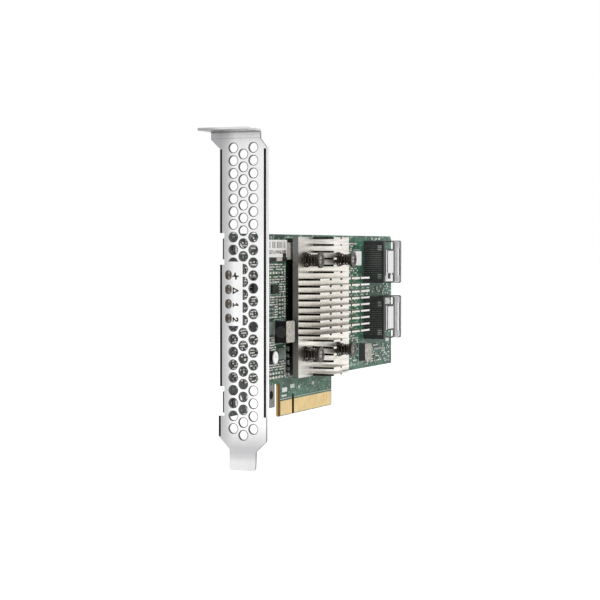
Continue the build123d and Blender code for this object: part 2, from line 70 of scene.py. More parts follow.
# Sizes of the CAD part that the finishes and fine pieces follow, in millimetres
SHEET_WIDTH = 18.42
RETURN_LOW, RETURN_HIGH = 4.4, 98.6
TAB_HEIGHTS = ((5.6, 13.0), (59.7, 67.1))
VENT_HALF, VENT_PITCH, VENT_ROWS, VENT_TOP = 1.9, 4.495, 23, 99.0
VENT_MIDDLE, VENT_COLUMN_STEP, VENT_CUT, VENT_SIDES = 9.55, 3.87, 1.7, 24
PANEL_RIGHT, PANEL_TOP, PANEL_BOTTOM = 9.27, 58.9, 36.3
LIGHT_TOP, LIGHT_PITCH, LIGHT_ACROSS = 54.2, 5.1, 4.1
SINK_BASE = 2.3
SINK_CUTS = (3.6, 14.6)
SINK_MIDDLE_HALF = 14.8
LEG_END, LEG_LENGTH, LEG_TOP = -17.1, 6.6, 12.4
COILS_APART = 10.0
FINE_LENGTH, FINE_WIDTH, FINE_HEIGHT, FINE_END, FINE_GAP = 1.05, 0.52, 0.5, 0.26, 0.42

CAMERA_PLACE = (0.25743, -0.59539, 0.0636)
CAMERA_SHIFT = (-0.00125, -0.0861)


class Wire:
    """A shader value that works in Python expressions."""

    def __init__(self, nodes, socket):
        self.nodes = nodes
        self.socket = socket

    def math(self, operation, *values):
        """The result of a Math node on this value and others."""
        settings = {"operation": operation}
        return self.nodes.node("ShaderNodeMath", settings, dict(enumerate((self, *values))))

    def __add__(self, other):
        return self.math("ADD", other)

    def __radd__(self, other):
        return self.math("ADD", other)

    def __sub__(self, other):
        return self.math("SUBTRACT", other)

    def __rsub__(self, other):
        return self.nodes.node("ShaderNodeMath", {"operation": "SUBTRACT"}, {0: other, 1: self})

    def __mul__(self, other):
        return self.math("MULTIPLY", other)

    def __rmul__(self, other):
        return self.math("MULTIPLY", other)

    def __truediv__(self, other):
        return self.math("DIVIDE", other)

    def __gt__(self, other):
        return self.math("GREATER_THAN", other)

    def __lt__(self, other):
        return self.math("LESS_THAN", other)

    def __abs__(self):
        return self.math("ABSOLUTE")

    def __mod__(self, other):
        return self.math("FLOORED_MODULO", other)

    def __floordiv__(self, other):
        return (self / other).math("FLOOR")

    def between(self, low, high):
        """One where the value lies between two limits."""
        return (self > low) * (self < high)


class Nodes:
    """The nodes of one material or of the surroundings."""

    def __init__(self, owner):
        owner.use_nodes = True
        self.tree = owner.node_tree
        self.tree.nodes.clear()

    def put(self, node, inputs):
        """Set or link a node's sockets by name or number."""
        for key, value in inputs.items():
            target = node.inputs[key]
            if isinstance(value, Wire):
                self.tree.links.new(value.socket, target)
            elif target.type == "RGBA" and len(value) == 3:
                target.default_value = (*value, 1.0)
            else:
                target.default_value = value

    def node(self, kind, settings=None, inputs=None, output=0):
        """Add a node: its settings first, then its sockets."""
        made = self.tree.nodes.new(kind)
        for key, value in (settings or {}).items():
            if key == "stops":
                self.fill_ramp(made.color_ramp, value)
            else:
                setattr(made, key, value)
        self.put(made, inputs or {})
        return Wire(self, made.outputs[output]) if made.outputs else None

    @staticmethod
    def fill_ramp(ramp, stops):
        """Set a ramp's stops from places and colours."""
        while len(ramp.elements) < len(stops):
            ramp.elements.new(0.5)
        for element, (place, colour) in zip(ramp.elements, stops):
            element.position = place
            element.color = (*colour, 1.0)


class Finish(Nodes):
    """One material, its shader and the values that feed it."""

    def __init__(self, name, **constants):
        self.material = bpy.data.materials.new(name)
        super().__init__(self.material)
        settings = {key.replace("_", " "): value for key, value in constants.items()}
        surface = self.node("ShaderNodeBsdfPrincipled", None, settings, "BSDF")
        self.shader = surface.socket.node
        self.node("ShaderNodeOutputMaterial", None, {"Surface": surface})

    def feed(self, **inputs):
        """Set or link the shader's own sockets."""
        self.put(self.shader, {key.replace("_", " "): value for key, value in inputs.items()})
        return self

    def place(self):
        """The place on the object, in millimetres, as three values."""
        spot = self.node("ShaderNodeTexCoord", output="Object")
        parts = [self.node("ShaderNodeSeparateXYZ", None, {0: spot}, axis) for axis in range(3)]
        return [part / MM for part in parts]

    def vector(self, x, y, z):
        """Three values as one vector."""
        return self.node("ShaderNodeCombineXYZ", None, {0: x, 1: y, 2: z})

    def spot(self, scale=(1.0, 1.0, 1.0)):
        """The place on the object in millimetres, scaled along each axis."""
        spot = self.node("ShaderNodeTexCoord", output="Object")
        stretch = tuple(part / MM for part in scale)
        return self.node("ShaderNodeVectorMath", {"operation": "MULTIPLY"}, {0: spot, 1: stretch})

    def noise(self, scale, detail=3.0, rough=0.5, stretch=(1.0, 1.0, 1.0)):
        """Noise with a scale in waves for each millimetre."""
        waves = {"Scale": scale, "Detail": detail, "Roughness": rough}
        return self.node("ShaderNodeTexNoise", None, {"Vector": self.spot(stretch), **waves}, "Fac")

    def random(self, vector):
        """A chance value from 0 to 1 for each whole step of a vector."""
        settings = {"noise_dimensions": "3D"}
        return self.node("ShaderNodeTexWhiteNoise", settings, {"Vector": vector}, "Value")

    def normal(self):
        """The surface's own direction as three values."""
        normal = self.node("ShaderNodeNewGeometry", output="Normal")
        return [self.node("ShaderNodeSeparateXYZ", None, {0: normal}, axis) for axis in range(3)]

    def mix(self, factor, first, second):
        """One colour going over into another."""
        colours = {0: factor, 6: first, 7: second}
        return self.node("ShaderNodeMix", {"data_type": "RGBA"}, colours, 2)

    def ramp(self, factor, stops):
        """Colours picked by a factor."""
        return self.node("ShaderNodeValToRGB", {"stops": stops}, {"Fac": factor}, "Color")

    def span(self, value, low, high, start, end):
        """Value carried from one range to another, kept inside it."""
        inputs = {"From Min": low, "From Max": high, "To Min": start, "To Max": end}
        inputs["Value"] = value
        return self.node("ShaderNodeMapRange", {"clamp": True}, inputs, "Result")

    def bump(self, height, depth, strength=1.0):
        """A surface direction from a height, with its depth in millimetres."""
        inputs = {"Height": height, "Distance": depth * MM, "Strength": strength}
        return self.node("ShaderNodeBump", None, inputs, "Normal")


def middle_height(name):
    """The height of the middle of a part, in millimetres."""
    low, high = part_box(name)
    return (low.z + high.z) / 2 / MM


FINISHES = {}


def finish(name):
    """A named finish, made on first use."""
    if name not in FINISHES:
        FINISHES[name] = MAKERS[name]().material
    return FINISHES[name]


def grained(name, grain, tones, rough, depth, stops=(0.3, 0.7), **constants):
    """A finish of one grain: two tones, a range of roughness and a relief in millimetres."""
    made = Finish(name, **constants)
    shade = made.noise(*grain)
    made.feed(
        Base_Color=made.ramp(shade, tuple(zip(stops, tones))),
        Roughness=made.span(shade, 0.3, 0.7, *rough),
        Normal=made.bump(shade, depth),
    )
    return made


def looks():
    """The sizes and colours set in the panel."""
    return bpy.context.scene.adapter_looks


def plated_steel():
    """Plated sheet with painted shade: greyer toward its left edge, head and foot, and dark along
    its cut edges and bends.
    """
    made = Finish("plated_steel", Metallic=1.0)
    x, y, z = made.place()
    _, ny, _ = made.normal()
    across = x - SHEET_LEFT / MM
    low, high = BRACKET_LOW.z / MM, BRACKET_HIGH.z / MM
    outer, inner = BRACKET_OUTER / MM, BRACKET_INNER / MM
    sheet = y.between(outer - 0.5, inner + 0.01)
    # Painted shade along the sheet's cut edges.
    cut = sheet * (abs(ny) < 0.4) * (z < high - 1.4)
    near = y < outer + 1.2
    run = z.between(RETURN_LOW, RETURN_HIGH) * near
    # Painted shade: near-black lines along the right and left bends and beside the bent tabs.
    right = run * across.between(SHEET_WIDTH - 0.98, SHEET_WIDTH - 0.26)
    left = run * (across < 1.32) + z.between(-2.8, RETURN_LOW) * near * (across < 0.80)
    lower_tab, upper_tab = [z.between(*heights) for heights in TAB_HEIGHTS]
    tab = run * across.between(0.98, 2.05) * (lower_tab + upper_tab)
    hem = z.between(RETURN_LOW, RETURN_HIGH) * (across > SHEET_WIDTH - 0.05) * (y > outer + 2.4)
    # Painted shade along the two bends at the head.
    first_bend, second_bend = z.between(high - 1.25, high - 0.75), z.between(high - 3.3, high - 3.0)
    painted_bend_shade = near * (first_bend * 0.75 + second_bend * 0.3)
    grain = made.noise(0.9, 4.0, 0.6, (1.0, 1.0, 0.16))
    cloud = made.noise(0.16, 2.0)
    # Painted shade: greyer toward the left edge, the head and the foot, with a mottle of tone from
    # the cloud.
    edge = made.span(across, 0.8, 3.4, 0.02, 0.30) + made.span(across, 3.4, 6.2, 0.0, 0.62)
    foot = made.span(z, -6.5, 1.5, 0.0, 1.0)
    painted_shade_and_mottle = edge * foot + (1 - foot) * made.span(z, low + 3.0, low + 6.0, 0.72, 0.19)
    painted_shade_and_mottle = painted_shade_and_mottle * made.span(z, 98.0, 104.5, 1.0, 0.72)
    painted_shade_and_mottle = painted_shade_and_mottle * made.span(cloud, 0.35, 0.65, 0.90, 1.0)
    pale = made.mix(painted_shade_and_mottle, (0.37, 0.37, 0.38), tuple(looks().steel))
    pale = made.mix(made.span(grain, 0.35, 0.65, 0.0, 0.12), pale, (0.50, 0.50, 0.50))
    # Painted shade on the cut edges and the head's bends; the far side of the right return is
    # darkened too.
    pale = made.mix(cut * 0.85 + painted_bend_shade + hem * 0.6, pale, (0.10, 0.10, 0.105))
    # Painted shade: near-black at the bends and beside the tabs.
    dark = (right + left + tab * 0.95) * across.between(-0.5, SHEET_WIDTH)
    made.feed(
        Base_Color=made.mix(dark, pale, (0.012, 0.012, 0.012)),
        Roughness=made.span(grain, 0.3, 0.7, 0.26, 0.36) + cut * 0.3,
        Normal=made.bump(grain, 0.010),
    )
    return made


def hole_rim_shade():
    """Painted shade: the dark ring inside an air hole, standing for its shaded punched edge."""
    tones = ((0.035, 0.035, 0.037), (0.15, 0.15, 0.155))
    return grained("hole_rim_shade", (4.0, 3.0), tones, (0.45, 0.65), 0.02, (0.35, 0.65), Metallic=0.6)


def raw_aluminium():
    """Bare extruded aluminium with lines along the fins; painted shade on the sawn fin ends, low
    between the fins, on the base's front face and on the fin tops beside the cuts, and painted
    light on the channel floors.
    """
    made = Finish("raw_aluminium", Metallic=1.0)
    x, y, z = made.place()
    nx, ny, nz = made.normal()
    lines = made.noise(1.6, 5.0, 0.7, (1.0, 0.05, 1.0))
    cloud = made.noise(0.12, 3.0, 0.5, (1.0, 0.35, 1.0))
    rise = x - SINK_LOW.x / MM
    floor = (nx > 0.7) * (rise < SINK_BASE + 0.9)
    tops = (nx > 0.7) * (rise > SINK_BASE + 8.2)
    sides = (abs(nz) > 0.7) * (rise > SINK_BASE)
    ends = (ny < -0.5) * (rise > SINK_BASE + 0.3)
    front = (ny < -0.5) * (rise < SINK_BASE + 0.3)
    middle_z = (SINK_LOW.z + SINK_HIGH.z) / 2 / MM
    inner = abs(z - middle_z) < SINK_MIDDLE_HALF
    first_cut, second_cut = [abs(y - cut) < 1.15 for cut in SINK_CUTS]
    metal = ((0.3, (0.70, 0.67, 0.61)), (0.5, (0.85, 0.82, 0.76)), (0.7, (0.95, 0.93, 0.89)))
    pale = made.ramp(cloud, metal)
    pale = made.mix(made.span(lines, 0.42, 0.60, 0.0, 0.40), pale, (0.50, 0.47, 0.42))
    # Painted light: the channel floors between the middle fins are lightened.
    pale = made.mix(floor * inner * 0.6, pale, (0.90, 0.85, 0.76))
    # Painted shade: the fin tops beside each cross cut are near black.
    pale = made.mix(tops * (first_cut + second_cut) * inner * 0.85, pale, (0.03, 0.028, 0.026))
    pale = made.mix(sides * made.span(rise, SINK_BASE, 9.0, 0.30, 0.0), pale, (0.06, 0.055, 0.05))
    # Painted shade: the fins' sawn ends, which face the bracket, are near black.
    pale = made.mix(ends, pale, (0.03, 0.028, 0.026))
    # Painted shade: the front face of the base is darker grey.
    pale = made.mix(front, pale, (0.28, 0.28, 0.27))
    made.feed(
        Base_Color=pale,
        Roughness=made.span(lines, 0.3, 0.7, 0.17, 0.32) + floor * (1 - inner) * 0.16 + front * 0.2,
        Normal=made.bump(lines, 0.02),
    )
    return made


def can_aluminium():
    """Bright can top with a grey rim and a printed segment, in a dark sleeve."""
    made = Finish("can_aluminium", Metallic=0.7)
    _, y, z = made.place()
    nx, _, _ = made.normal()
    low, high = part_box("round_capacitor_can")
    from_y = y - (low.y + high.y) / 2 / MM
    from_z = z - (low.z + high.z) / 2 / MM
    reach = (from_y * from_y + from_z * from_z).math("SQRT")
    radius = (high.z - low.z) / 2 / MM
    grain = made.noise(3.0, 3.0)
    top = made.ramp(grain, ((0.3, (0.84, 0.84, 0.84)), (0.7, (0.93, 0.93, 0.92))))
    top = made.mix((reach > radius * 0.86) * 0.7, top, (0.22, 0.22, 0.22))
    top = made.mix((reach < radius * 0.28) * (from_z > 0.0) * 0.6, top, (0.15, 0.15, 0.15))
    made.feed(
        Base_Color=made.mix(nx > 0.6, (0.025, 0.025, 0.026), top),
        Roughness=made.span(grain, 0.3, 0.7, 0.25, 0.4),
        Normal=made.bump(grain, 0.01),
    )
    return made


def shell_steel():
    """Folded connector mouth, dull plated and brushed along its length, with a band of painted
    shade behind the mouth and a band of painted light nearer it.
    """
    made = Finish("shell_steel", Metallic=1.0)
    lines = made.noise(2.5, 4.0, 0.6, (1.0, 0.1, 1.0))
    cloud = made.noise(0.5, 3.0)
    _, y, _ = made.place()
    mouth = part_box("port_shell_upper")[1].y / MM
    pale = made.ramp(cloud, ((0.35, (0.26, 0.26, 0.27)), (0.65, (0.40, 0.40, 0.41))))
    pale = made.mix(made.span(lines, 0.35, 0.65, 0.0, 0.4), pale, (0.50, 0.50, 0.51))
    # Painted shade: a dark band across the top behind the mouth.
    pale = made.mix(y.between(mouth - 9.4, mouth - 7.4) * 0.85, pale, (0.05, 0.05, 0.05))
    made.feed(
        # Painted light: a pale band across the top near the mouth.
        Base_Color=made.mix(y.between(mouth - 3.7, mouth - 1.3) * 0.35, pale, (0.80, 0.80, 0.80)),
        Roughness=made.span(lines, 0.3, 0.7, 0.26, 0.42),
        Normal=made.bump(lines, 0.02),
    )
    return made


def can_metal():
    """Silvery lid over a pale ceramic tub."""
    made = Finish("can_metal")
    nx, _, _ = made.normal()
    lid = nx > 0.7
    grain = made.noise(3.0, 3.0)
    made.feed(
        Base_Color=made.mix(lid, (0.52, 0.49, 0.43), (0.93, 0.92, 0.89)),
        Metallic=lid * 0.85,
        Roughness=made.span(grain, 0.3, 0.7, 0.3, 0.42),
        Normal=made.bump(grain, 0.01),
    )
    return made


def tinned():
    """Bright tinned leads and pads."""
    tones = ((0.72, 0.71, 0.69), (0.90, 0.89, 0.86))
    return grained("tinned", (4.0, 3.0), tones, (0.28, 0.45), 0.02, Metallic=1.0)


def port_leads():
    """Tinned leads in the dark back of a connector, painted dark as shade apart from bright tin
    near their tops in the outer rows.
    """
    made = Finish("port_leads", Metallic=1.0)
    x, _, z = made.place()
    upper, lower = [middle_height(name) for name in ("port_contacts_upper", "port_contacts_lower")]
    outer = abs(z - upper).between(4.9, 8.0) + abs(z - lower).between(4.9, 8.0)
    tops = x.between(FACE / MM + 6.4, FACE / MM + 8.6) * outer
    grain = made.noise(4.0, 3.0)
    # Painted shade: the leads' dark tone; the outer rows keep bright tin near their tops.
    dull = made.ramp(grain, ((0.3, (0.12, 0.12, 0.12)), (0.7, (0.30, 0.30, 0.29))))
    made.feed(
        Base_Color=made.mix(tops, dull, (0.90, 0.90, 0.88)),
        Roughness=made.span(grain, 0.3, 0.7, 0.28, 0.45),
        Normal=made.bump(grain, 0.02),
    )
    return made


def gold_plate():
    """Gold contacts, worn in fine upright lines."""
    made = Finish("gold_plate", Metallic=1.0)
    cloud = made.noise(0.35, 3.0)
    lines = made.noise(3.0, 3.0, 0.5, (1.0, 1.0, 0.1))
    made.feed(
        Base_Color=made.ramp(cloud, ((0.3, (0.80, 0.56, 0.23)), (0.7, tuple(looks().gold)))),
        Roughness=made.span(lines, 0.3, 0.7, 0.24, 0.40),
        Normal=made.bump(lines, 0.01),
    )
    return made


def spring_steel():
    """Dark drawn wire."""
    tones = ((0.014, 0.012, 0.010), (0.095, 0.080, 0.070))
    return grained("spring_steel", (2.5, 3.0), tones, (0.25, 0.4), 0.01, Metallic=1.0)


def plastic(name, dark, light, rough, depth):
    """A moulded plastic with a fine skin."""
    made = Finish(name, Specular_IOR_Level=0.25)
    skin = made.noise(5.0, 3.0, 0.6)
    cloud = made.noise(0.3, 2.0)
    made.feed(
        Base_Color=made.ramp(cloud, ((0.3, dark), (0.7, light))),
        Roughness=made.span(cloud, 0.3, 0.7, rough - 0.06, rough + 0.08),
        Normal=made.bump(skin, depth),
    )
    return made


def dark_nylon():
    """Dark moulded pins, with a painted highlight in the dimple of each head."""
    made = Finish("dark_nylon")
    x, y, z = made.place()
    low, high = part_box("push_pins")
    middle_y, middle_z = (low.y + high.y) / 2 / MM, (low.z + high.z) / 2 / MM
    from_y = abs(abs(y - middle_y) - 17.0)
    from_z = abs(abs(z - middle_z) - 18.0)
    reach = (from_y * from_y + from_z * from_z).math("SQRT")
    dimple = (reach < 1.75) * (x > high.x / MM - 0.5)
    cross = dimple * (from_z < 0.22) + dimple * (from_y < 0.22)
    streaks = made.noise(0.9, 3.0, 0.6, (1.0, 1.0, 0.25))
    dark = made.ramp(streaks, ((0.3, (0.010, 0.008, 0.007)), (0.7, (0.026, 0.020, 0.016))))
    # Painted highlight in each head's dimple, made partly metallic.
    dimple_highlight = made.ramp(streaks, ((0.35, (0.10, 0.09, 0.08)), (0.55, (0.60, 0.57, 0.52))))
    shown = made.mix(dimple, dark, dimple_highlight)
    made.feed(
        Base_Color=made.mix(cross, shown, (0.05, 0.04, 0.03)),
        Metallic=dimple * 0.4,
        Roughness=made.span(streaks, 0.3, 0.7, 0.22, 0.36),
        Normal=made.bump(streaks, 0.02),
    )
    return made


def port_black():
    """Black moulding of the connectors."""
    return plastic("port_black", (0.026, 0.026, 0.028), (0.044, 0.044, 0.046), 0.45, 0.015)


def guide_clear():
    """Milky brown guide, with painted shade at its left and a painted highlight at each end of a
    window.
    """
    made = Finish("guide_clear", Specular_IOR_Level=0.25, Subsurface_Weight=0.08)
    x, _, z = made.place()
    across = x - SHEET_LEFT / MM
    rise = (z - LIGHT_TOP + LIGHT_PITCH / 2) % LIGHT_PITCH - LIGHT_PITCH / 2
    aside, from_spot = across - LIGHT_ACROSS, abs(rise) - 0.95
    reach = (aside * aside * 2.0 + from_spot * from_spot).math("SQRT")
    # Painted highlights at both ends of each window.
    window_highlights = made.span(reach, 0.15, 0.85, 1.0, 0.0)
    cloud = made.noise(0.7, 3.0)
    brown = made.ramp(cloud, ((0.35, (0.050, 0.038, 0.028)), (0.65, (0.115, 0.092, 0.070))))
    # Painted shade along the guide's left side.
    brown = made.mix(made.span(across, 2.6, 3.4, 0.75, 0.0), brown, (0.045, 0.035, 0.028))
    made.feed(
        Base_Color=made.mix(window_highlights * 0.5, brown, (0.62, 0.58, 0.50)),
        Roughness=made.span(cloud, 0.3, 0.7, 0.22, 0.34),
        Normal=made.bump(cloud, 0.01),
    )
    return made


def white_ceramic():
    """White fired lid."""
    return plastic("white_ceramic", (0.93, 0.93, 0.91), (0.98, 0.98, 0.97), 0.38, 0.01)


def led_body():
    """Milky body of a small light."""
    return plastic("led_body", (0.75, 0.72, 0.60), (0.86, 0.83, 0.72), 0.3, 0.01)


def pad_grey():
    """Soft grey heat pad."""
    return plastic("pad_grey", (0.36, 0.39, 0.43), (0.44, 0.47, 0.51), 0.7, 0.03)


def chip_black():
    """Moulded chip body with a fine skin."""
    return plastic("chip_black", (0.010, 0.009, 0.009), (0.024, 0.022, 0.021), 0.50, 0.02)


def chip_grey():
    """Dull grey-green chip body."""
    return plastic("chip_grey", (0.10, 0.12, 0.11), (0.19, 0.22, 0.20), 0.5, 0.02)


def coil_grey():
    """Pressed iron powder, paler and brushed on top where the marks are, dark at the sides."""
    made = Finish("coil_grey", Specular_IOR_Level=0.2)
    x, y, z = made.place()
    nx, ny, _ = made.normal()
    low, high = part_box("front_power_coil")
    from_x, from_z = x - (FACE + high.x) / 2 / MM, z - (low.z + high.z) / 2 / MM
    front_coil = y < COILS_APART
    round_core = ((from_x * from_x + from_z * from_z).math("SQRT") < 2.2) * (ny < -0.6) * front_coil
    mark = (made.random(made.vector(0.0, y // 0.55, z // 0.7)) > 0.55) * (nx > 0.6)
    speck = made.noise(3.5, 4.0, 0.7)
    top = nx > 0.6
    worn = made.span(speck, 0.42, 0.62, 0.0, 1.0)
    pale = made.mix(worn, (0.46, 0.43, 0.38), (0.76, 0.73, 0.66))
    pale = made.mix(mark * 0.45, pale, (0.20, 0.19, 0.18))
    side = made.mix(front_coil, (0.060, 0.058, 0.062), (0.012, 0.011, 0.011))
    side = made.mix(round_core, side, (0.045, 0.045, 0.045))
    made.feed(
        Base_Color=made.mix(top, side, pale),
        Roughness=made.span(speck, 0.3, 0.7, 0.45, 0.62),
        Normal=made.bump(speck, 0.05),
    )
    return made


def ceramic_tan():
    """Fired ceramic, a little different from one small part to the next."""
    made = Finish("ceramic_tan")
    _, y, z = made.place()
    each = made.random(made.vector(0.0, y // 2.7, z // 1.55))
    grain = made.noise(5.0, 2.0)
    tans = ((0.1, (0.42, 0.34, 0.26)), (0.5, (0.66, 0.59, 0.49)), (0.9, (0.88, 0.86, 0.80)))
    made.feed(
        Base_Color=made.ramp(each, tans),
        Roughness=made.span(grain, 0.3, 0.7, 0.35, 0.5),
        Normal=made.bump(grain, 0.02),
    )
    return made


def resistor_black():
    """Dark glaze on a chip resistor."""
    return plastic("resistor_black", (0.02, 0.02, 0.022), (0.045, 0.045, 0.05), 0.3, 0.01)


def board_mask():
    """Green solder mask over paler copper fields, with rings of vias and a bare ground leg; darker
    toward the bracket, with a painted shadow under the heat sink.
    """
    made = Finish("board_mask", Specular_IOR_Level=0.22, IOR=1.5)
    x, y, z = made.place()
    nx, _, _ = made.normal()
    spot = made.spot()
    flat = abs(nx) > 0.5
    front = nx > 0.5
    wide = made.random(made.vector(front, y // 14.3, z // 9.1)) > 0.55
    small = made.random(made.vector(front + 2.0, y // 4.7, z // 3.4)) > 0.62
    copper = abs(wide - small)
    run = made.random(made.vector(front + 4.0, y // 9.4, z // 5.2))
    across_run = (z % 0.62 < 0.22) * (run > 0.66)
    along_run = (y % 0.66 < 0.22) * (run < 0.24)
    tracks = across_run + along_run
    weave = made.noise(1.6, 2.0)
    cells = {"Vector": spot, "Scale": 0.42, "Randomness": 0.75}
    near = made.node("ShaderNodeTexVoronoi", {"feature": "F1"}, cells, "Distance")
    ring = near.between(0.085, 0.17)
    hole = near < 0.085
    mask = made.mix(copper, tuple(looks().mask), tuple(looks().mask_on_copper))
    mask = made.mix(tracks * 0.5, mask, (0.085, 0.240, 0.150))
    mask = made.mix(made.span(weave, 0.3, 0.7, 0.0, 0.25), mask, (0.010, 0.035, 0.022))
    # The face is darker toward the bracket, and a dark strip runs along its top edge there.
    darker_toward_bracket = front * made.span(y, -32.0, -22.0, 0.90, 0.35) * (y < -2.0)
    edge_strip = front * (y < -8.0) * (z > 66.2) * 0.4
    mask = made.mix(darker_toward_bracket + edge_strip, mask, (0.014, 0.018, 0.016))
    mask = made.mix(ring * flat, mask, (0.40, 0.48, 0.42))
    mask = made.mix(hole * flat, mask, (0.01, 0.03, 0.02))
    # Painted shadow: the face under the heat sink is near black.
    sink_low, sink_high = SINK_LOW / MM, SINK_HIGH / MM
    painted_sink_shadow = y.between(sink_low.y + 0.3, sink_high.y - 0.7)
    painted_sink_shadow = painted_sink_shadow * z.between(sink_low.z + 0.7, sink_high.z - 0.7)
    mask = made.mix(front * painted_sink_shadow * 0.96, mask, (0.004, 0.005, 0.005))
    leg = flat * y.between(LEG_END - LEG_LENGTH, LEG_END + 0.2) * (z < LEG_TOP)
    tin = made.mix(made.span(weave, 0.3, 0.7, 0.0, 1.0), (0.13, 0.125, 0.12), (0.24, 0.235, 0.22))
    mask = made.mix(leg, mask, tin)
    layer = made.span(z % 0.4, 0.0, 0.4, 0.0, 1.0)
    laminate = made.mix(layer, (0.16, 0.14, 0.06), (0.24, 0.21, 0.11))
    edge_gold = (1 - flat) * (z < LEG_TOP - 0.4) * (y > LEG_END + 2.0)
    bronze = made.mix(made.span(x, -0.45, 0.25, 0.0, 1.0), (0.62, 0.42, 0.17), (0.15, 0.065, 0.014))
    laminate = made.mix(edge_gold, laminate, bronze)
    laminate = made.mix(edge_gold * (abs(y) < 1.5), laminate, (0.045, 0.022, 0.008))
    leg_hole = (1 - flat) * y.between(LEG_END - 5.0, LEG_END - 1.4) * z.between(6.6, 11.0)
    laminate = made.mix(leg_hole, laminate, (0.012, 0.011, 0.009))
    height = copper * 0.4 + tracks * 0.5 + ring * 0.6 - hole * 1.0 + weave * 0.15
    made.feed(
        Base_Color=made.mix(flat, laminate, mask),
        Metallic=leg * 0.7,
        Roughness=made.span(weave, 0.3, 0.7, 0.34, 0.48),
        Normal=made.bump(height, 0.035),
    )
    return made


def trace_mask():
    """Tracks under the mask: the board's green, a little paler and raised."""
    tones = ((0.035, 0.165, 0.085), (0.050, 0.205, 0.110))
    return grained("trace_mask", (1.6, 2.0), tones, (0.28, 0.40), 0.01, Specular_IOR_Level=0.22)


def white_ink():
    """White board print."""
    tones = ((0.66, 0.70, 0.66), (0.86, 0.88, 0.85))
    return grained("white_ink", (4.0, 3.0, 0.6), tones, (0.5, 0.65), 0.01, (0.35, 0.6))


def dark_ink():
    """Black print on the bracket."""
    tones = ((0.012, 0.012, 0.012), (0.030, 0.030, 0.030))
    return grained("dark_ink", (4.0, 3.0, 0.6), tones, (0.5, 0.65), 0.001, (0.35, 0.65))


def board_film():
    """White label with a generic row of grey bars over a row of short dark blocks."""
    made = Finish("board_film")
    _, y, z = made.place()
    low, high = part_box("board_label")
    bottom = low.z / MM
    bars = made.random(made.vector(y // 0.42, 1.0, 0.0)) > 0.45
    bars = bars * z.between(bottom + 3.5, bottom + 5.9)
    dots = made.random(made.vector(y // 0.30, z // 0.45, 2.0)) > 0.42
    dots = dots * z.between(bottom + 1.3, bottom + 2.7)
    inside = y.between(low.y / MM + 1.0, high.y / MM - 0.9)
    fibre = made.noise(2.0, 3.0)
    paper = made.ramp(fibre, ((0.3, (0.84, 0.84, 0.82)), (0.7, (0.93, 0.93, 0.92))))
    paper = made.mix(bars * inside, paper, (0.34, 0.33, 0.32))
    made.feed(
        Base_Color=made.mix(dots * inside, paper, (0.14, 0.13, 0.13)),
        Roughness=made.span(fibre, 0.3, 0.7, 0.45, 0.6),
        Normal=made.bump(fibre, 0.01),
    )
    return made


def port_film():
    """Pale film on the connectors."""
    tones = ((0.88, 0.88, 0.87), (0.95, 0.95, 0.94))
    return grained("port_film", (2.0, 3.0), tones, (0.45, 0.6), 0.01)


MAKERS = {
    maker.__name__: maker
    for maker in (
        plated_steel, hole_rim_shade, raw_aluminium, can_aluminium, shell_steel, can_metal, tinned,
        port_leads, gold_plate, spring_steel, dark_nylon, port_black, guide_clear, white_ceramic,
        led_body, pad_grey, chip_black, chip_grey, coil_grey, ceramic_tan, resistor_black,
        board_mask, trace_mask, white_ink, dark_ink, board_film, port_film,
    )
}

NODE_FINISHES = {
    "io_bracket": "plated_steel",
    "bracket_screws": "tinned",
    "circuit_board": "board_mask",
    "edge_contacts": "gold_plate",
    "heat_sink": "raw_aluminium",
    "push_pins": "dark_nylon",
    "push_pin_springs": "spring_steel",
    "controller_package": "chip_black",
    "thermal_pad": "pad_grey",
    "port_housing_upper": "port_black",
    "port_housing_lower": "port_black",
    "port_shell_upper": "shell_steel",
    "port_shell_lower": "shell_steel",
    "port_contacts_upper": "port_leads",
    "port_contacts_lower": "port_leads",
    "port_labels": "port_film",
    "light_guide": "guide_clear",
    "status_leds": "led_body",
    "board_label": "board_film",
    "clock_oscillator": "can_metal",
    "timing_crystal": "white_ceramic",
    "front_power_coil": "coil_grey",
    "rear_power_coil": "coil_grey",
    "power_coil_terminals": "tinned",
    "round_capacitor_base": "port_black",
    "round_capacitor_can": "can_aluminium",
    "flash_memory": "chip_black",
    "flash_memory_leads": "tinned",
    "power_chips": "chip_black",
    "ceramic_capacitors": "ceramic_tan",
    "chip_resistors": "resistor_black",
    "passive_ends": "tinned",
}


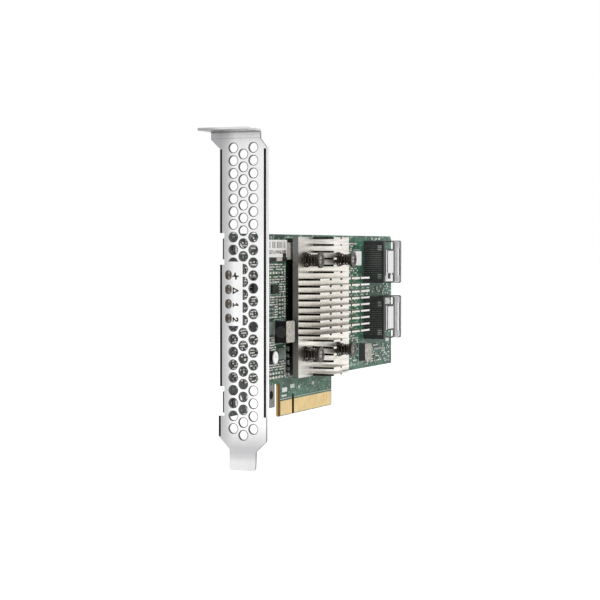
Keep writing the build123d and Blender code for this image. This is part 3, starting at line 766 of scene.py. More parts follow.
class Shape:
    """Points and faces gathered for one piece, in metres."""

    def __init__(self):
        self.points = []
        self.faces = []

    def add(self, points, faces):
        """Take in points, and faces that count from the first of them."""
        base = len(self.points)
        self.points += [tuple(point) for point in points]
        self.faces += [tuple(base + number for number in face) for face in faces]

    def block(self, low, high, bevel=0.0):
        """A square solid with cropped edges and corners."""
        centre = (Vector(low) + Vector(high)) / 2
        half = Vector([abs(b - a) / 2 for a, b in zip(low, high)])
        bevel = min(bevel, min(half) * 0.9)
        signs = [(a, b, c) for a in (-1, 1) for b in (-1, 1) for c in (-1, 1)]
        points = []
        for corner in signs:
            for axis in range(3):
                point = [corner[k] * (half[k] - (0 if k == axis else bevel)) for k in range(3)]
                points.append(centre + Vector(point))
        place = {corner: number * 3 for number, corner in enumerate(signs)}
        faces = []
        for axis in range(3):
            first, second = [k for k in range(3) if k != axis]
            for sign in (-1, 1):
                ring = []
                for a, b in ((-1, -1), (1, -1), (1, 1), (-1, 1)):
                    corner = [0, 0, 0]
                    corner[axis], corner[first], corner[second] = sign, a, b
                    ring.append(place[tuple(corner)] + axis)
                faces.append(ring)
            for a in (-1, 1):
                for b in (-1, 1):
                    low_corner, high_corner = [0, 0, 0], [0, 0, 0]
                    low_corner[axis], high_corner[axis] = -1, 1
                    low_corner[first] = high_corner[first] = a
                    low_corner[second] = high_corner[second] = b
                    start, end = place[tuple(low_corner)], place[tuple(high_corner)]
                    faces.append((start + first, end + first, end + second, start + second))
        faces += [(start, start + 1, start + 2) for start in place.values()]
        self.add(points, faces)

    def prism(self, ring, shift):
        """A solid between a ring of points and the same ring moved by a step."""
        count = len(ring)
        moved = [Vector(point) + Vector(shift) for point in ring]
        sides = [(k, (k + 1) % count, (k + 1) % count + count, k + count) for k in range(count)]
        lids = [tuple(range(count))[::-1], tuple(range(count, 2 * count))]
        self.add([*ring, *moved], [*lids, *sides])

    def line(self, points, width, place, shift):
        """Flat strokes through pairs of numbers, laid out by a function and raised by a step."""
        for start, end in zip(points, points[1:]):
            first, last = Vector(start), Vector(end)
            step = (last - first).normalized()
            across = Vector((-step.y, step.x)) * width / 2
            reach = step * width / 2
            low, high = first - reach, last + reach
            corners = (low - across, high - across, high + across, low + across)
            self.prism([place(corner.x, corner.y) for corner in corners], shift)

    def tube(self, points, radius, sides=8):
        """A round wire through points, closed at both ends."""
        start = len(self.points)
        for number, point in enumerate(points):
            before = points[max(number - 1, 0)]
            after = points[min(number + 1, len(points) - 1)]
            along = (after - before).normalized()
            side = along.cross(Vector((1, 0, 0))).normalized()
            up = along.cross(side)
            for step in range(sides):
                angle = 2 * math.pi * step / sides
                out = math.cos(angle) * side + math.sin(angle) * up
                self.points.append(tuple(point + radius * out))
        for ring in range(len(points) - 1):
            base = start + ring * sides
            for step in range(sides):
                after = (step + 1) % sides
                above = base + sides
                self.faces.append((base + step, base + after, above + after, above + step))
        self.faces.append(tuple(start + step for step in range(sides))[::-1])
        last = start + (len(points) - 1) * sides
        self.faces.append(tuple(last + step for step in range(sides)))

    def disc(self, centre, radius, shift, sides=10):
        """A low round pad standing on the board."""
        angles = [2 * math.pi * step / sides for step in range(sides)]
        ring = [Vector(centre) + radius * Vector((0, math.cos(a), math.sin(a))) for a in angles]
        self.prism(ring, shift)


def solid_mesh(name, shape):
    """A mesh from a gathered shape, with its faces turned outward."""
    mesh = bpy.data.meshes.new(name)
    mesh.from_pydata(shape.points, [], shape.faces)
    turned = bmesh.new()
    turned.from_mesh(mesh)
    bmesh.ops.recalc_face_normals(turned, faces=turned.faces)
    turned.to_mesh(mesh)
    turned.free()
    return mesh


def place_object(name, data):
    """A new object in the scene."""
    made = bpy.data.objects.new(name, data)
    bpy.context.scene.collection.objects.link(made)
    return made


def add_piece(name, shape, finish_name):
    """A new piece from a gathered shape, riding on the adapter."""
    piece = place_object(name, solid_mesh(name, shape))
    piece.data.materials.append(finish(finish_name))
    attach(piece, ROOT)
    return piece


def on_face(along, up, height=0.0):
    """A point over the component face, from millimetres along, up and out."""
    return Vector((FACE + height * MM, along * MM, up * MM))


def on_bracket(across, up):
    """A point on the bracket's outer face, from millimetres across and up."""
    return Vector((across * MM, BRACKET_OUTER, up * MM))


def on_rear(along, up, height=0.0):
    """A point over the solder face, from millimetres along, up and out."""
    return Vector((SOLDER - height * MM, along * MM, up * MM))


INK = Vector((0.02 * MM, 0, 0))


def stroke(shape, points, width):
    """Printed strokes on the component face."""
    shape.line(points, width, on_face, INK)


# Fine parts on the board. Stretches of the board are (along, up, along, up), in millimetres.
LARGE_PARTS = (
    "board_label", "clock_oscillator", "timing_crystal", "front_power_coil", "rear_power_coil",
    "round_capacitor_base", "flash_memory_leads", "port_housing_upper", "port_housing_lower",
    "port_shell_upper", "port_shell_lower", "light_guide",
)
SMALL_PARTS = ("power_chips", "ceramic_capacitors", "chip_resistors", "bracket_screws", "push_pins")
KEPT_CLEAR = ((-25.3, 30.8, -18.4, 36.7), (-16.2, 21.2, -9.8, 26.6), (-6.9, 14.0, 45.0, 67.8))
REAR_CORNERS = ((-57.0, 58.0, -44.0, 69.0), (-57.0, 4.0, -44.0, 15.0))

# Stretches with tiny parts, and how full each is
FINE_ZONES = (
    (-55.0, 15.0, -27.0, 60.0, 0.55),
    (-27.0, 15.0, -7.6, 58.4, 0.92),
    (-50.0, 61.5, -25.5, 68.0, 0.45),
    (46.5, 14.5, 69.5, 67.0, 0.42),
    (79.0, 14.0, 108.0, 23.0, 0.45),
    (70.0, 43.8, 108.0, 48.0, 0.35),
    (98.5, 24.0, 109.0, 66.0, 0.16),
)
REAR_ZONES = (
    (4.0, 28.0, 30.0, 54.0, 0.24),
    (-40.0, 20.0, -8.0, 56.0, 0.08),
    (60.0, 26.0, 98.0, 64.0, 0.06),
)

# Pale parts along the sink's left edge, as height on the board and length, and two grey chips
EDGE_PARTS = ((15.0, 1.3), (17.1, 1.2), (19.3, 1.7), (22.0, 1.4), (24.4, 1.8))
GREY_CHIPS = ((-24.8, 31.3, 5.9, 4.9, 1.0), (-15.7, 21.7, 5.4, 4.4, 1.2))

OUTLINED_PARTS = (
    "front_power_coil", "rear_power_coil", "round_capacitor_base", "flash_memory",
    "timing_crystal",
)

# White printed blocks, as place, length and height
WHITE_BLOCKS = (
    (86.0, 67.3, 0.7, 0.9), (90.5, 67.3, 1.5, 0.8), (94.3, 67.3, 1.8, 0.8),
    (104.0, 39.0, 3.0, 2.6), (104.2, 22.6, 2.0, 2.4), (104.4, 48.4, 2.4, 2.0),
    (-9.5, 9.0, 3.0, 1.7), (-1.8, 10.0, 2.6, 1.5), (-10.5, 7.3, 2.0, 0.7), (-7.6, 7.3, 1.2, 0.7),
    (5.8, 9.4, 0.9, 1.1), (19.5, 9.9, 1.3, 1.2),
)


def ground(name):
    """The stretch of the board below a part."""
    low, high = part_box(name)
    return low.y / MM, low.z / MM, high.y / MM, high.z / MM


def widened(boxes, along, up):
    """Stretches of the board with a margin added on each side."""
    return [
        (left - along, bottom - up, right + along, top + up)
        for left, bottom, right, top in boxes]


def taken_boxes():
    """Stretches of the component face that are already in use."""
    boxes = widened([ground(name) for name in LARGE_PARTS], 0.5, 0.5)
    boxes += KEPT_CLEAR
    for name in SMALL_PARTS:
        boxes += widened(islands(name), 1.0, 0.6)
    return boxes


def islands(node):
    """The board stretch of each separate solid of a node."""
    shape = bmesh.new()
    shape.from_mesh(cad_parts[node].data)
    bmesh.ops.remove_doubles(shape, verts=shape.verts, dist=1e-6)
    shape.verts.ensure_lookup_table()
    seen = set()
    found = []
    for vert in shape.verts:
        if vert.index in seen:
            continue
        stack, group = [vert], []
        seen.add(vert.index)
        while stack:
            one = stack.pop()
            group.append(one.co)
            for edge in one.link_edges:
                other = edge.other_vert(one)
                if other.index not in seen:
                    seen.add(other.index)
                    stack.append(other)
        ys = [point.y / MM for point in group]
        zs = [point.z / MM for point in group]
        found.append((min(ys), min(zs), max(ys), max(zs)))
    shape.free()
    return found


def clear_of(spot, boxes):
    """Whether a stretch of the board touches none of the boxes."""
    low_y, low_z, high_y, high_z = spot
    return not any(
        low_y < right and high_y > left and low_z < top and high_z > bottom
        for left, bottom, right, top in boxes)


def fine_part_places(seed, zones, boxes):
    """Seeded places for tiny parts on a fine grid, clear of what is there."""
    dice = random.Random(seed)
    step_y, step_z = FINE_LENGTH + FINE_GAP, FINE_WIDTH + FINE_GAP
    places = []
    for low_y, low_z, high_y, high_z, density in zones:
        for column in range(int((high_y - low_y) / step_y)):
            for row in range(int((high_z - low_z) / step_z)):
                if dice.random() > density:
                    continue
                y = low_y + column * step_y + dice.uniform(-0.1, 0.1)
                z = low_z + row * step_z + dice.uniform(-0.08, 0.08)
                spot = (y, z, y + FINE_LENGTH, z + FINE_WIDTH)
                if clear_of(spot, boxes):
                    boxes.append(spot)
                    places.append((y, z, dice.random()))
    return places


def set_fine_part(body, ends, place, y, z):
    """One tiny part with a tinned end at each side."""
    body_start, body_end = y + FINE_END, y + FINE_LENGTH - FINE_END
    top, bevel, end_bevel, proud = FINE_HEIGHT, 0.03 * MM, 0.05 * MM, 0.02
    body.block(place(body_start, z), place(body_end, z + FINE_WIDTH, top), bevel)
    for start in (y, body_end):
        low = place(start, z - proud)
        ends.block(low, place(start + FINE_END, z + FINE_WIDTH + proud, top + 0.03), end_bevel)


def scatter_pads(shape, dice, boxes, count, reach, radii, place, shift):
    """Loose round pads at seeded places, clear of what is there."""
    for _ in range(count):
        y, z = [dice.uniform(*limits) for limits in reach]
        radius = dice.choice(radii)
        spot = (y - radius, z - radius, y + radius, z + radius)
        if clear_of(spot, boxes):
            boxes.append(spot)
            shape.disc(place(y, z), radius * MM, shift)


def add_fine_parts():
    """Tiny ceramic parts with tinned ends between the larger ones."""
    tan, dark, ends, chips = Shape(), Shape(), Shape(), Shape()
    for y, z, draw in fine_part_places(11, FINE_ZONES, taken_boxes()):
        set_fine_part(tan if draw < 0.74 else dark, ends, on_face, y, z)
    for z, rise in EDGE_PARTS:
        ends.block(on_face(-5.3, z), on_face(-4.3, z + rise, 0.6), 0.06 * MM)
    below_label = (
        (tan, (-16.6, 58.8), (-11.8, 60.1), 0.8),
        (dark, (-9.9, 58.6), (-8.3, 61.8), 0.9),
        (dark, (-24.6, 58.8), (-17.3, 60.1), 0.7),
    )
    for body, start, end, height in below_label:
        body.block(on_face(*start), on_face(*end, height), 0.1 * MM)
    for y, z, along, up, height in GREY_CHIPS:
        chips.block(on_face(y, z), on_face(y + along, z + up, height), 0.12 * MM)
    add_piece("grey_chips", chips, "chip_grey")
    add_piece("fine_capacitors", tan, "ceramic_tan")
    add_piece("fine_resistors", dark, "resistor_black")
    add_piece("fine_part_ends", ends, "tinned")


def add_rear_parts():
    """Tiny parts, pads and printed bars on the solder face, thickest behind the controller."""
    dice = random.Random(31)
    boxes = widened(islands("push_pins"), 0.6, 0.6)
    boxes += widened(islands("ceramic_capacitors"), 1.0, 0.6)
    boxes += REAR_CORNERS
    body, ends, pads, ink = Shape(), Shape(), Shape(), Shape()
    for y, z, _ in fine_part_places(37, REAR_ZONES, boxes):
        set_fine_part(body, ends, on_rear, y, z)
    reach = ((-50.0, 108.0), (15.5, 67.0))
    scatter_pads(pads, dice, boxes, 260, reach, (0.2, 0.3, 0.42), on_rear, -INK * 3)
    for name in ("port_shell_upper", "port_shell_lower"):
        _, bottom, _, top = ground(name)
        for up in (bottom + 1.4, top - 1.4):
            for along in (78.0, 91.0):
                pads.disc(on_rear(along, up), 0.95 * MM, -INK * 10, 16)
    for _ in range(40):
        y, z = dice.uniform(-50.0, 106.0), dice.uniform(16.0, 66.0)
        add_bars(ink, (y, z), dice.randint(2, 4), 0.7, (0.17, 0.85), on_rear, -INK)
    add_piece("rear_capacitors", body, "ceramic_tan")
    add_piece("rear_part_ends", ends, "tinned")
    add_piece("rear_pads", pads, "tinned")
    add_piece("rear_print", ink, "white_ink")


def add_pads():
    """Round tinned pads: test points by the sink, loose ones, and dots over the card edge."""
    dice = random.Random(23)
    boxes = taken_boxes()
    shape = Shape()
    for step in range(9):
        shape.disc(on_face(-5.4, 41.0 + step * 1.45), 0.3 * MM, INK * 4)
    reach = ((-54.5, 109.0), (14.0, 67.8))
    scatter_pads(shape, dice, boxes, 420, reach, (0.18, 0.22, 0.30), on_face, INK * 3)
    for _ in range(36):
        y, z = dice.uniform(1.6, 38.8), dice.uniform(7.4, 12.0)
        shape.disc(on_face(y, z), 0.16 * MM, INK * 2)
    add_piece("test_pads", shape, "tinned")


# Print and tracks
def add_bars(shape, start, count, step, size, place, shift):
    """A short row of upright printed bars, each with a width and a height."""
    y, z = start
    width, height = size
    for number in range(count):
        along = y + number * step
        shape.line([(along, z), (along, z + height)], width, place, shift)


def outline(shape, box, width, along, up):
    """Four printed lines around a stretch of the board, with a margin."""
    left, bottom, right, top = widened([box], along, up)[0]
    corners = [(left, bottom), (right, bottom), (right, top), (left, top), (left, bottom)]
    stroke(shape, corners, width)


def add_board_print():
    """White printed outlines, blocks and generic bars."""
    shape = Shape()
    for name in OUTLINED_PARTS:
        outline(shape, ground(name), 0.15, 0.55, 0.55)
    for box in islands("power_chips"):
        outline(shape, box, 0.15, 0.5, 0.5)
    outline(shape, ground("heat_sink"), 0.18, 0.6, -0.2)
    over_edge = 6.5
    for start, end in ((-12.2, -1.2), (1.2, 39.2)):
        stroke(shape, [(start, over_edge), (end, over_edge)], 0.16)
    for y, z, along, up in WHITE_BLOCKS:
        stroke(shape, [(y, z + up / 2), (y + along, z + up / 2)], up)
    dice = random.Random(5)
    for _ in range(60):
        y = dice.uniform(-54.0, 108.0)
        heights = [dice.uniform(*limits) for limits in ((14.2, 15.4), (66.9, 68.2), (24.0, 60.0))]
        z = dice.choice(heights)
        add_bars(shape, (y, z), dice.randint(2, 4), 0.62, (0.16, 0.75), on_face, INK)
    add_piece("board_print", shape, "white_ink")


def add_tracks():
    """Paired tracks from the controller to both connectors and to the card edge."""
    shape = Shape()
    width, pair_gap = 0.17, 0.42
    sink_side, port_side = 46.5, 74.6
    for lane in range(8):
        for pair in range(2):
            offset = lane * 1.25 + pair * pair_gap
            start = 2.2 + lane * 4.4 + pair * pair_gap
            bent = start + 1.2
            edge_run = [(start, 14.0), (start, 10.2 - 0.12 * lane), (bent, 8.8), (bent, 6.3)]
            stroke(shape, edge_run, width)
            for bottom, rise in ((55.0, 1), (33.0, -1)):
                z = bottom + offset * 0.9
                inner = 41.4 + rise * (3.0 + offset * 0.8)
                bend = 58.0 + rise * offset * 0.3
                turned = bend + abs(z - inner)
                port_run = [(sink_side, inner), (bend, inner), (turned, z), (port_side, z)]
                stroke(shape, port_run, width)
    add_piece("board_tracks", shape, "trace_mask")


# Springs
def spring_wire(place_y, place_z):
    """Points of one wound spring, wide and close at its foot and narrow up to the pin's head."""
    low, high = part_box("push_pin_springs")
    wire, turns = looks().spring_wire, looks().spring_turns
    rise = high.x - low.x - 2 * wire
    total = turns * 24
    narrow, flare, flared_part = 2.0 * MM, 0.85 * MM, 0.45
    points = []
    for number in range(total + 1):
        part = number / total
        eased = part - 0.45 * math.sin(2 * math.pi * part) / (2 * math.pi)
        radius = narrow + flare * max(0.0, 1.0 - part / flared_part) ** 0.8
        angle = 2 * math.pi * turns * part
        points.append(Vector((low.x + wire + rise * eased,
                              place_y + radius * math.cos(angle),
                              place_z + radius * math.sin(angle))))
    return points, wire


def smooth(piece, angle=0.6):
    """Round shading over gentle edges only."""
    for face in piece.data.polygons:
        face.use_smooth = True
    piece.data.set_sharp_from_angle(angle=angle)


def add_springs():
    """Wire springs wound round each push pin."""
    shape = Shape()
    for left, bottom, right, top in islands("push_pin_springs"):
        points, radius = spring_wire((left + right) / 2 * MM, (bottom + top) / 2 * MM)
        shape.tube(points, radius)
    piece = add_piece("wound_springs", shape, "spring_steel")
    smooth(piece)
    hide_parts("push_pin_springs")


# Bracket
def air_holes():
    """The column and the middle of each air hole, in millimetres across and up."""
    for column in (-1, 0, 1):
        for row in range(VENT_ROWS):
            up = VENT_TOP - VENT_PITCH * (row + (0.0 if column else 0.5))
            if column == -1 and PANEL_BOTTOM + VENT_CUT < up < PANEL_TOP - VENT_CUT:
                continue
            yield column, VENT_MIDDLE + VENT_COLUMN_STEP * column, up


def vent_ring(column, middle, up, inset, rounding):
    """An outline inside an air hole, cut straight where the light panel crosses it."""
    ring = []
    for step in range(VENT_SIDES):
        angle = 2 * math.pi * step / VENT_SIDES
        corner = (angle + math.pi / 6) % (math.pi / 3) - math.pi / 6
        flat = VENT_HALF / math.cos(abs(corner) - math.pi / 6)
        reach = flat - inset - rounding * (flat - VENT_HALF)
        across, rise = middle + reach * math.cos(angle), up + reach * math.sin(angle)
        if column == 0 and PANEL_BOTTOM < up < PANEL_TOP:
            across = max(across, PANEL_RIGHT + inset)
        if column == -1 and abs(up - PANEL_TOP) < VENT_CUT:
            rise = max(rise, PANEL_TOP + inset)
        if column == -1 and abs(up - PANEL_BOTTOM) < VENT_CUT:
            rise = min(rise, PANEL_BOTTOM - inset)
        ring.append((SHEET_LEFT + across * MM, rise * MM))
    return ring


def add_sleeve(shape, outer, inner, depths):
    """A closed wall between two outlines, from one depth to another."""
    base, count = len(shape.points), len(outer)
    for ring in (outer, inner):
        for depth in depths:
            shape.points += [(x, depth, z) for x, z in ring]
    for step in range(count):
        after = (step + 1) % count
        for first, second in ((0, 1), (1, 3), (3, 2), (2, 0)):
            a, b = base + first * count, base + second * count
            shape.faces.append((a + step, a + after, b + after, b + step))


def add_vent_edges():
    """Rounded corners in the air holes, and dark linings inside them as painted shade of the
    punched edges.
    """
    corners, shade_linings = Shape(), Shape()
    sheet = (BRACKET_OUTER, BRACKET_INNER)
    sunk = (BRACKET_OUTER + 0.03 * MM, BRACKET_INNER - 0.03 * MM)
    insets = ((0.0, 0.0), (0.015, 0.85), (looks().hole_shade_lining / MM, 0.85))
    for hole in air_holes():
        outline_ring, rounded, inner = [vent_ring(*hole, *inset) for inset in insets]
        add_sleeve(corners, outline_ring, rounded, sheet)
        # Painted shade: a dark ring inside each hole.
        add_sleeve(shade_linings, rounded, inner, sunk)
    add_piece("vent_corners", corners, "plated_steel")
    add_piece("vent_edge_shade", shade_linings, "hole_rim_shade")


def add_face_marks():
    """Generic marks beside the lights: a pulse, a triangle, 1 and 2, lying on their sides."""
    middle = SHEET_LEFT / MM + 6.55
    marks = (
        [(-1.0, 0.0), (-0.45, 0.0), (-0.15, 1.0), (0.15, -1.0), (0.45, 0.0), (1.0, 0.0)],
        [(-0.9, -0.9), (0.9, 0.0), (-0.9, 0.9), (-0.9, -0.9)],
        [(-0.9, -0.5), (-0.9, 0.5), (-0.9, 0.0), (0.9, 0.0), (0.45, 0.5)],
        [(-0.9, -0.55), (-0.9, 0.55), (0.25, -0.5), (0.75, -0.4), (0.9, 0.0), (0.7, 0.45),
         (0.45, 0.5)],
    )
    width, raised = looks().mark_width / MM, Vector((0, -0.02 * MM, 0))
    shape = Shape()
    for number, points in enumerate(marks):
        centre = LIGHT_TOP - 0.4 - number * LIGHT_PITCH
        shape.line([(middle + x, centre + z) for x, z in points], width, on_bracket, raised)
    add_piece("face_marks", shape, "dark_ink")


# Connectors
def add_port_trims():
    """A pale rib along each connector's back, and a white latch on the upper one."""
    trims, heel = Shape(), Shape()
    for name in ("port_housing_upper", "port_housing_lower"):
        middle = middle_height(name)
        top = (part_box(name)[1].x - FACE) / MM
        low, high = on_face(79.3, middle - 5.2, top - 0.1), on_face(80.1, middle + 5.2, top + 0.1)
        trims.block(low, high, 0.03 * MM)
    side = middle_height("port_housing_upper") - 5.5
    top = (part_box("port_housing_upper")[1].x - FACE) / MM
    arms = ((79.5, 1.3, 3.8), (84.9, 1.3, 3.8), (80.8, 4.1, 1.1))
    for y, along, up in arms:
        low = on_face(y, side - 2.8, top - 1.2)
        trims.block(low, on_face(y + along, side - 2.8 + up, top + 0.12), 0.05 * MM)
    low, high = on_face(80.7, side - 1.8, top - 1.6), on_face(85.0, side + 0.05, top - 0.3)
    heel.block(low, high, 0.05 * MM)
    add_piece("port_trims", trims, "port_film")
    add_piece("latch_heel", heel, "port_black")


# Board
def notch_ring():
    """The outline of the notch between the board's bracket end and its leg, in millimetres."""
    start, end, top, corner = -42.0, -24.6, 13.3, 1.4
    low, eased = BOARD_LOW.z / MM - 2.0, 0.3 * corner
    return [
        (start, low), (start, top - corner), (start + eased, top - eased), (start + corner, top),
        (end - corner, top), (end - eased, top - eased), (end, top - corner), (end, low),
    ]


def add_notched_board():
    """The board again, with the notch beside its leg cut out of the lower edge."""
    shape = Shape()
    near_side = [Vector((SOLDER - MM, y * MM, z * MM)) for y, z in notch_ring()]
    shape.prism(near_side, Vector((FACE - SOLDER + 2 * MM, 0, 0)))
    cutter = place_object("notch_cutter", solid_mesh("notch_cutter", shape))
    whole = bmesh.new()
    whole.from_mesh(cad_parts["circuit_board"].data)
    bmesh.ops.remove_doubles(whole, verts=whole.verts, dist=1e-6)
    mesh = bpy.data.meshes.new("notched_board")
    whole.to_mesh(mesh)
    whole.free()
    board = place_object("notched_board", mesh)
    taken = board.modifiers.new("notch", "BOOLEAN")
    taken.operation = "DIFFERENCE"
    taken.solver = "EXACT"
    taken.object = cutter
    ready = board.evaluated_get(bpy.context.evaluated_depsgraph_get())
    board.data = bpy.data.meshes.new_from_object(ready)
    board.modifiers.clear()
    bpy.data.objects.remove(cutter)
    board.data.materials.clear()
    board.data.materials.append(finish("board_mask"))
    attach(board, ROOT)
    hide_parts("circuit_board")


def dress_nodes():
    """Give every part from the frame its finish."""
    for name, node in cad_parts.items():
        for slot in node.material_slots:
            slot.material = finish(NODE_FINISHES[name])
        if not node.material_slots:
            node.data.materials.append(finish(NODE_FINISHES[name]))


# Stage
def seen_white(made):
    """One for rays from the camera and from polished or clear surfaces."""
    rays = ("Is Camera Ray", "Is Glossy Ray", "Is Transmission Ray")
    camera, polished, clear = [made.node("ShaderNodeLightPath", output=ray) for ray in rays]
    return camera.math("MAXIMUM", polished).math("MAXIMUM", clear)


def add_floor(size, lift):
    """Pale floor that shows white, apart from the object's soft shadow."""
    material = bpy.data.materials.new("pale_floor")
    made = Nodes(material)
    matt = made.node("ShaderNodeBsdfDiffuse", None, {"Color": (0.80, 0.80, 0.80)}, "BSDF")
    glow = made.node("ShaderNodeEmission", None, {"Strength": lift}, "Emission")
    lifted = made.node("ShaderNodeAddShader", None, {0: matt, 1: glow}, "Shader")
    both = {0: seen_white(made), 1: matt, 2: lifted}
    shown = made.node("ShaderNodeMixShader", None, both, "Shader")
    made.node("ShaderNodeOutputMaterial", None, {"Surface": shown})
    level = BRACKET_LOW.z - 0.1 * MM
    mesh = bpy.data.meshes.new("floor")
    corners = [(x * size, y * size, level) for x, y in ((-1, -1), (1, -1), (1, 1), (-1, 1))]
    mesh.from_pydata(corners, [], [(0, 1, 2, 3)])
    mesh.materials.append(material)
    floor = place_object("floor", mesh)


def add_world(light_strength):
    """Soft pale surroundings that show as plain white."""
    world = bpy.data.worlds.new("studio")
    bpy.context.scene.world = world
    made = Nodes(world)
    white = {"Color": (1.0, 1.0, 1.0)}
    lighting, shown = [
        made.node("ShaderNodeBackground", None, {**white, "Strength": strength}, "Background")
        for strength in (light_strength, 1.0)]
    both = {0: seen_white(made), 1: lighting, 2: shown}
    surface = made.node("ShaderNodeMixShader", None, both, "Shader")
    made.node("ShaderNodeOutputWorld", None, {"Surface": surface})


def add_lamp(name, place, aim, size, power):
    """A square soft lamp that polished surfaces don't show."""
    data = bpy.data.lights.new(name, "AREA")
    data.shape = "RECTANGLE"
    data.size = data.size_y = size
    data.energy = power
    lamp = place_object(name, data)
    lamp.location = place
    lamp.rotation_mode = "QUATERNION"
    lamp.rotation_quaternion = (Vector(aim) - Vector(place)).to_track_quat("-Z", "Y")
    lamp.visible_glossy = False


def add_camera(place, turn, lens, shift):
    """A level camera with a shifted lens."""
    data = bpy.data.cameras.new("camera")
    data.lens = lens
    data.sensor_width = 36.0
    data.shift_x, data.shift_y = shift
    data.clip_start, data.clip_end = 0.01, 50.0
    camera = place_object("camera", data)
    camera.location = place
    camera.rotation_euler = (math.radians(90), 0, turn)
    bpy.context.scene.camera = camera


# Settings, operators and panel
def colour(name, description, default):
    """A colour that a user can set."""
    return bpy.props.FloatVectorProperty(
        name=name, description=description, default=default, size=3, min=0.0, max=1.0,
        subtype="COLOR")


def length(name, description, default):
    """A length that a user can set, in metres."""
    return bpy.props.FloatProperty(
        name=name, description=description, default=default, min=0.05 * MM, max=1.0 * MM,
        precision=5, unit="LENGTH")


class AdapterLooks(bpy.types.PropertyGroup):
    """Colours and small sizes of the adapter."""

    steel: colour("Plated steel", "Lightest tone of the bracket's sheet", (0.90, 0.90, 0.90))
    gold: colour("Gold", "Lightest tone of the edge contacts", (0.90, 0.67, 0.33))
    mask: colour("Board", "Solder mask over bare laminate", (0.034, 0.112, 0.070))
    mask_on_copper: colour("Board over copper", "Solder mask over copper", (0.070, 0.200, 0.130))
    spring_wire: length("Spring wire", "Radius of the springs' wire", 0.30 * MM)
    spring_turns: bpy.props.IntProperty(
        name="Spring turns", description="Turns of each spring", default=6, min=2, max=12)
    # How far the painted shade ring reaches into each air hole.
    hole_shade_lining: length("Hole lining", "Depth of the dark edge in an air hole", 0.27 * MM)
    mark_width: length("Mark width", "Width of the strokes beside the lights", 0.50 * MM)


class AdapterStage(bpy.types.PropertyGroup):
    """Camera and light strengths."""

    lens: bpy.props.FloatProperty(
        name="Lens", description="Focal length of the camera", default=101.16, min=20.0,
        unit="CAMERA")
    view_angle: bpy.props.FloatProperty(
        name="View angle", description="Turn of the camera round the upright line",
        default=math.radians(23.05), subtype="ANGLE")
    surroundings: bpy.props.FloatProperty(
        name="Surroundings", description="Strength of the soft light from all round",
        default=0.45, min=0.0)
    main_power: bpy.props.FloatProperty(
        name="Main lamp", description="Power of the main soft lamp", default=9.0, min=0.0,
        unit="POWER")
    fill_power: bpy.props.FloatProperty(
        name="Fill lamp", description="Power of the fill lamp", default=2.0, min=0.0,
        unit="POWER")


class ADAPTER_OT_dress(bpy.types.Operator):
    """Give every part of the adapter its finish"""

    bl_idname = "adapter.dress"
    bl_label = "Finish the parts"

    def execute(self, context):
        dress_nodes()
        return {"FINISHED"}


class ADAPTER_OT_notched_board(bpy.types.Operator):
    """Cut the board's lower edge beside the leg"""

    bl_idname = "adapter.notched_board"
    bl_label = "Notched board"

    def execute(self, context):
        add_notched_board()
        return {"FINISHED"}


class ADAPTER_OT_springs(bpy.types.Operator):
    """Wind the springs of the push pins"""

    bl_idname = "adapter.springs"
    bl_label = "Wound springs"

    def execute(self, context):
        add_springs()
        return {"FINISHED"}


class ADAPTER_OT_port_trims(bpy.types.Operator):
    """Set the pale trims on the connectors"""

    bl_idname = "adapter.port_trims"
    bl_label = "Connector trims"

    def execute(self, context):
        add_port_trims()
        return {"FINISHED"}


class ADAPTER_OT_fine_parts(bpy.types.Operator):
    """Set the smallest parts on both faces of the board"""

    bl_idname = "adapter.fine_parts"
    bl_label = "Fine parts"

    def execute(self, context):
        add_fine_parts()
        add_rear_parts()
        return {"FINISHED"}


class ADAPTER_OT_board_print(bpy.types.Operator):
    """Lay the board's tracks and pads and print its outlines"""

    bl_idname = "adapter.board_print"
    bl_label = "Board print and tracks"

    def execute(self, context):
        add_tracks()
        add_pads()
        add_board_print()
        return {"FINISHED"}


class ADAPTER_OT_face_marks(bpy.types.Operator):
    """Line the air holes with painted shade and print the marks beside the lights"""

    bl_idname = "adapter.face_marks"
    bl_label = "Bracket holes and marks"

    def execute(self, context):
        add_vent_edges()
        add_face_marks()
        return {"FINISHED"}


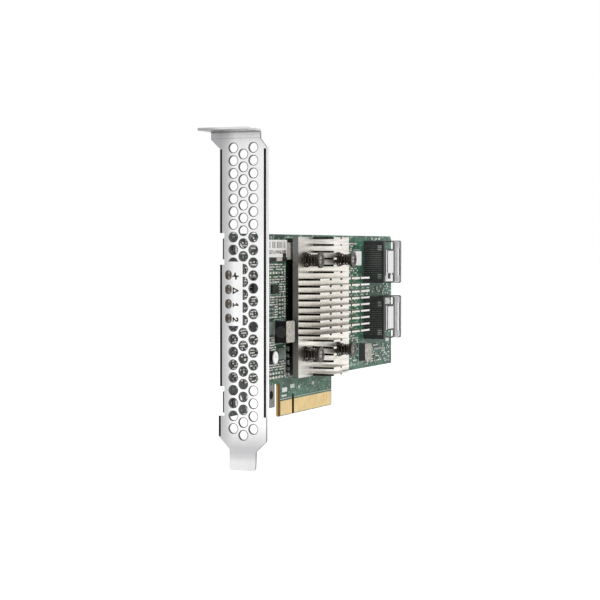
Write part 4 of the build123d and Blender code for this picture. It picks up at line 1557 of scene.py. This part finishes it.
class ADAPTER_OT_stage(bpy.types.Operator):
    """Set the floor, the lights and the camera"""

    bl_idname = "adapter.stage"
    bl_label = "Stage"

    def execute(self, context):
        stage = context.scene.adapter_stage
        aim = (0.0, 0.02, 0.04)
        add_floor(size=6.0, lift=0.68)
        add_world(stage.surroundings)
        add_lamp("main_lamp", (0.75, -0.55, 0.80), aim, 0.9, stage.main_power)
        add_lamp("fill_lamp", (-0.70, -0.70, 0.35), aim, 0.8, stage.fill_power)
        add_camera(CAMERA_PLACE, stage.view_angle, stage.lens, CAMERA_SHIFT)
        context.scene.view_settings.view_transform = "Standard"
        return {"FINISHED"}


class ADAPTER_PT_panel(bpy.types.Panel):
    """The adapter's settings and pieces"""

    bl_label = "Host bus adapter"
    bl_idname = "ADAPTER_PT_panel"
    bl_space_type = "VIEW_3D"
    bl_region_type = "UI"
    bl_category = "Adapter"

    def draw(self, context):
        for group in (context.scene.adapter_looks, context.scene.adapter_stage):
            for name in group.__annotations__:
                self.layout.prop(group, name)
        for piece in OPERATORS:
            self.layout.operator(piece.bl_idname)


OPERATORS = (
    ADAPTER_OT_dress,
    ADAPTER_OT_notched_board,
    ADAPTER_OT_springs,
    ADAPTER_OT_port_trims,
    ADAPTER_OT_fine_parts,
    ADAPTER_OT_board_print,
    ADAPTER_OT_face_marks,
    ADAPTER_OT_stage,
)
CLASSES = (AdapterLooks, AdapterStage, *OPERATORS, ADAPTER_PT_panel)


def register():
    """Make the settings, operators and panel known."""
    for one in CLASSES:
        bpy.utils.register_class(one)
    bpy.types.Scene.adapter_looks = bpy.props.PointerProperty(type=AdapterLooks)
    bpy.types.Scene.adapter_stage = bpy.props.PointerProperty(type=AdapterStage)


def unregister():
    """Take them away again."""
    del bpy.types.Scene.adapter_stage
    del bpy.types.Scene.adapter_looks
    for one in reversed(CLASSES):
        bpy.utils.unregister_class(one)


def main():
    """Build and dress everything."""
    register()
    bpy.ops.adapter.dress()
    bpy.ops.adapter.notched_board()
    bpy.ops.adapter.springs()
    bpy.ops.adapter.port_trims()
    bpy.ops.adapter.fine_parts()
    bpy.ops.adapter.board_print()
    bpy.ops.adapter.face_marks()
    bpy.ops.adapter.stage()


if __name__ == "__main__":
    main()
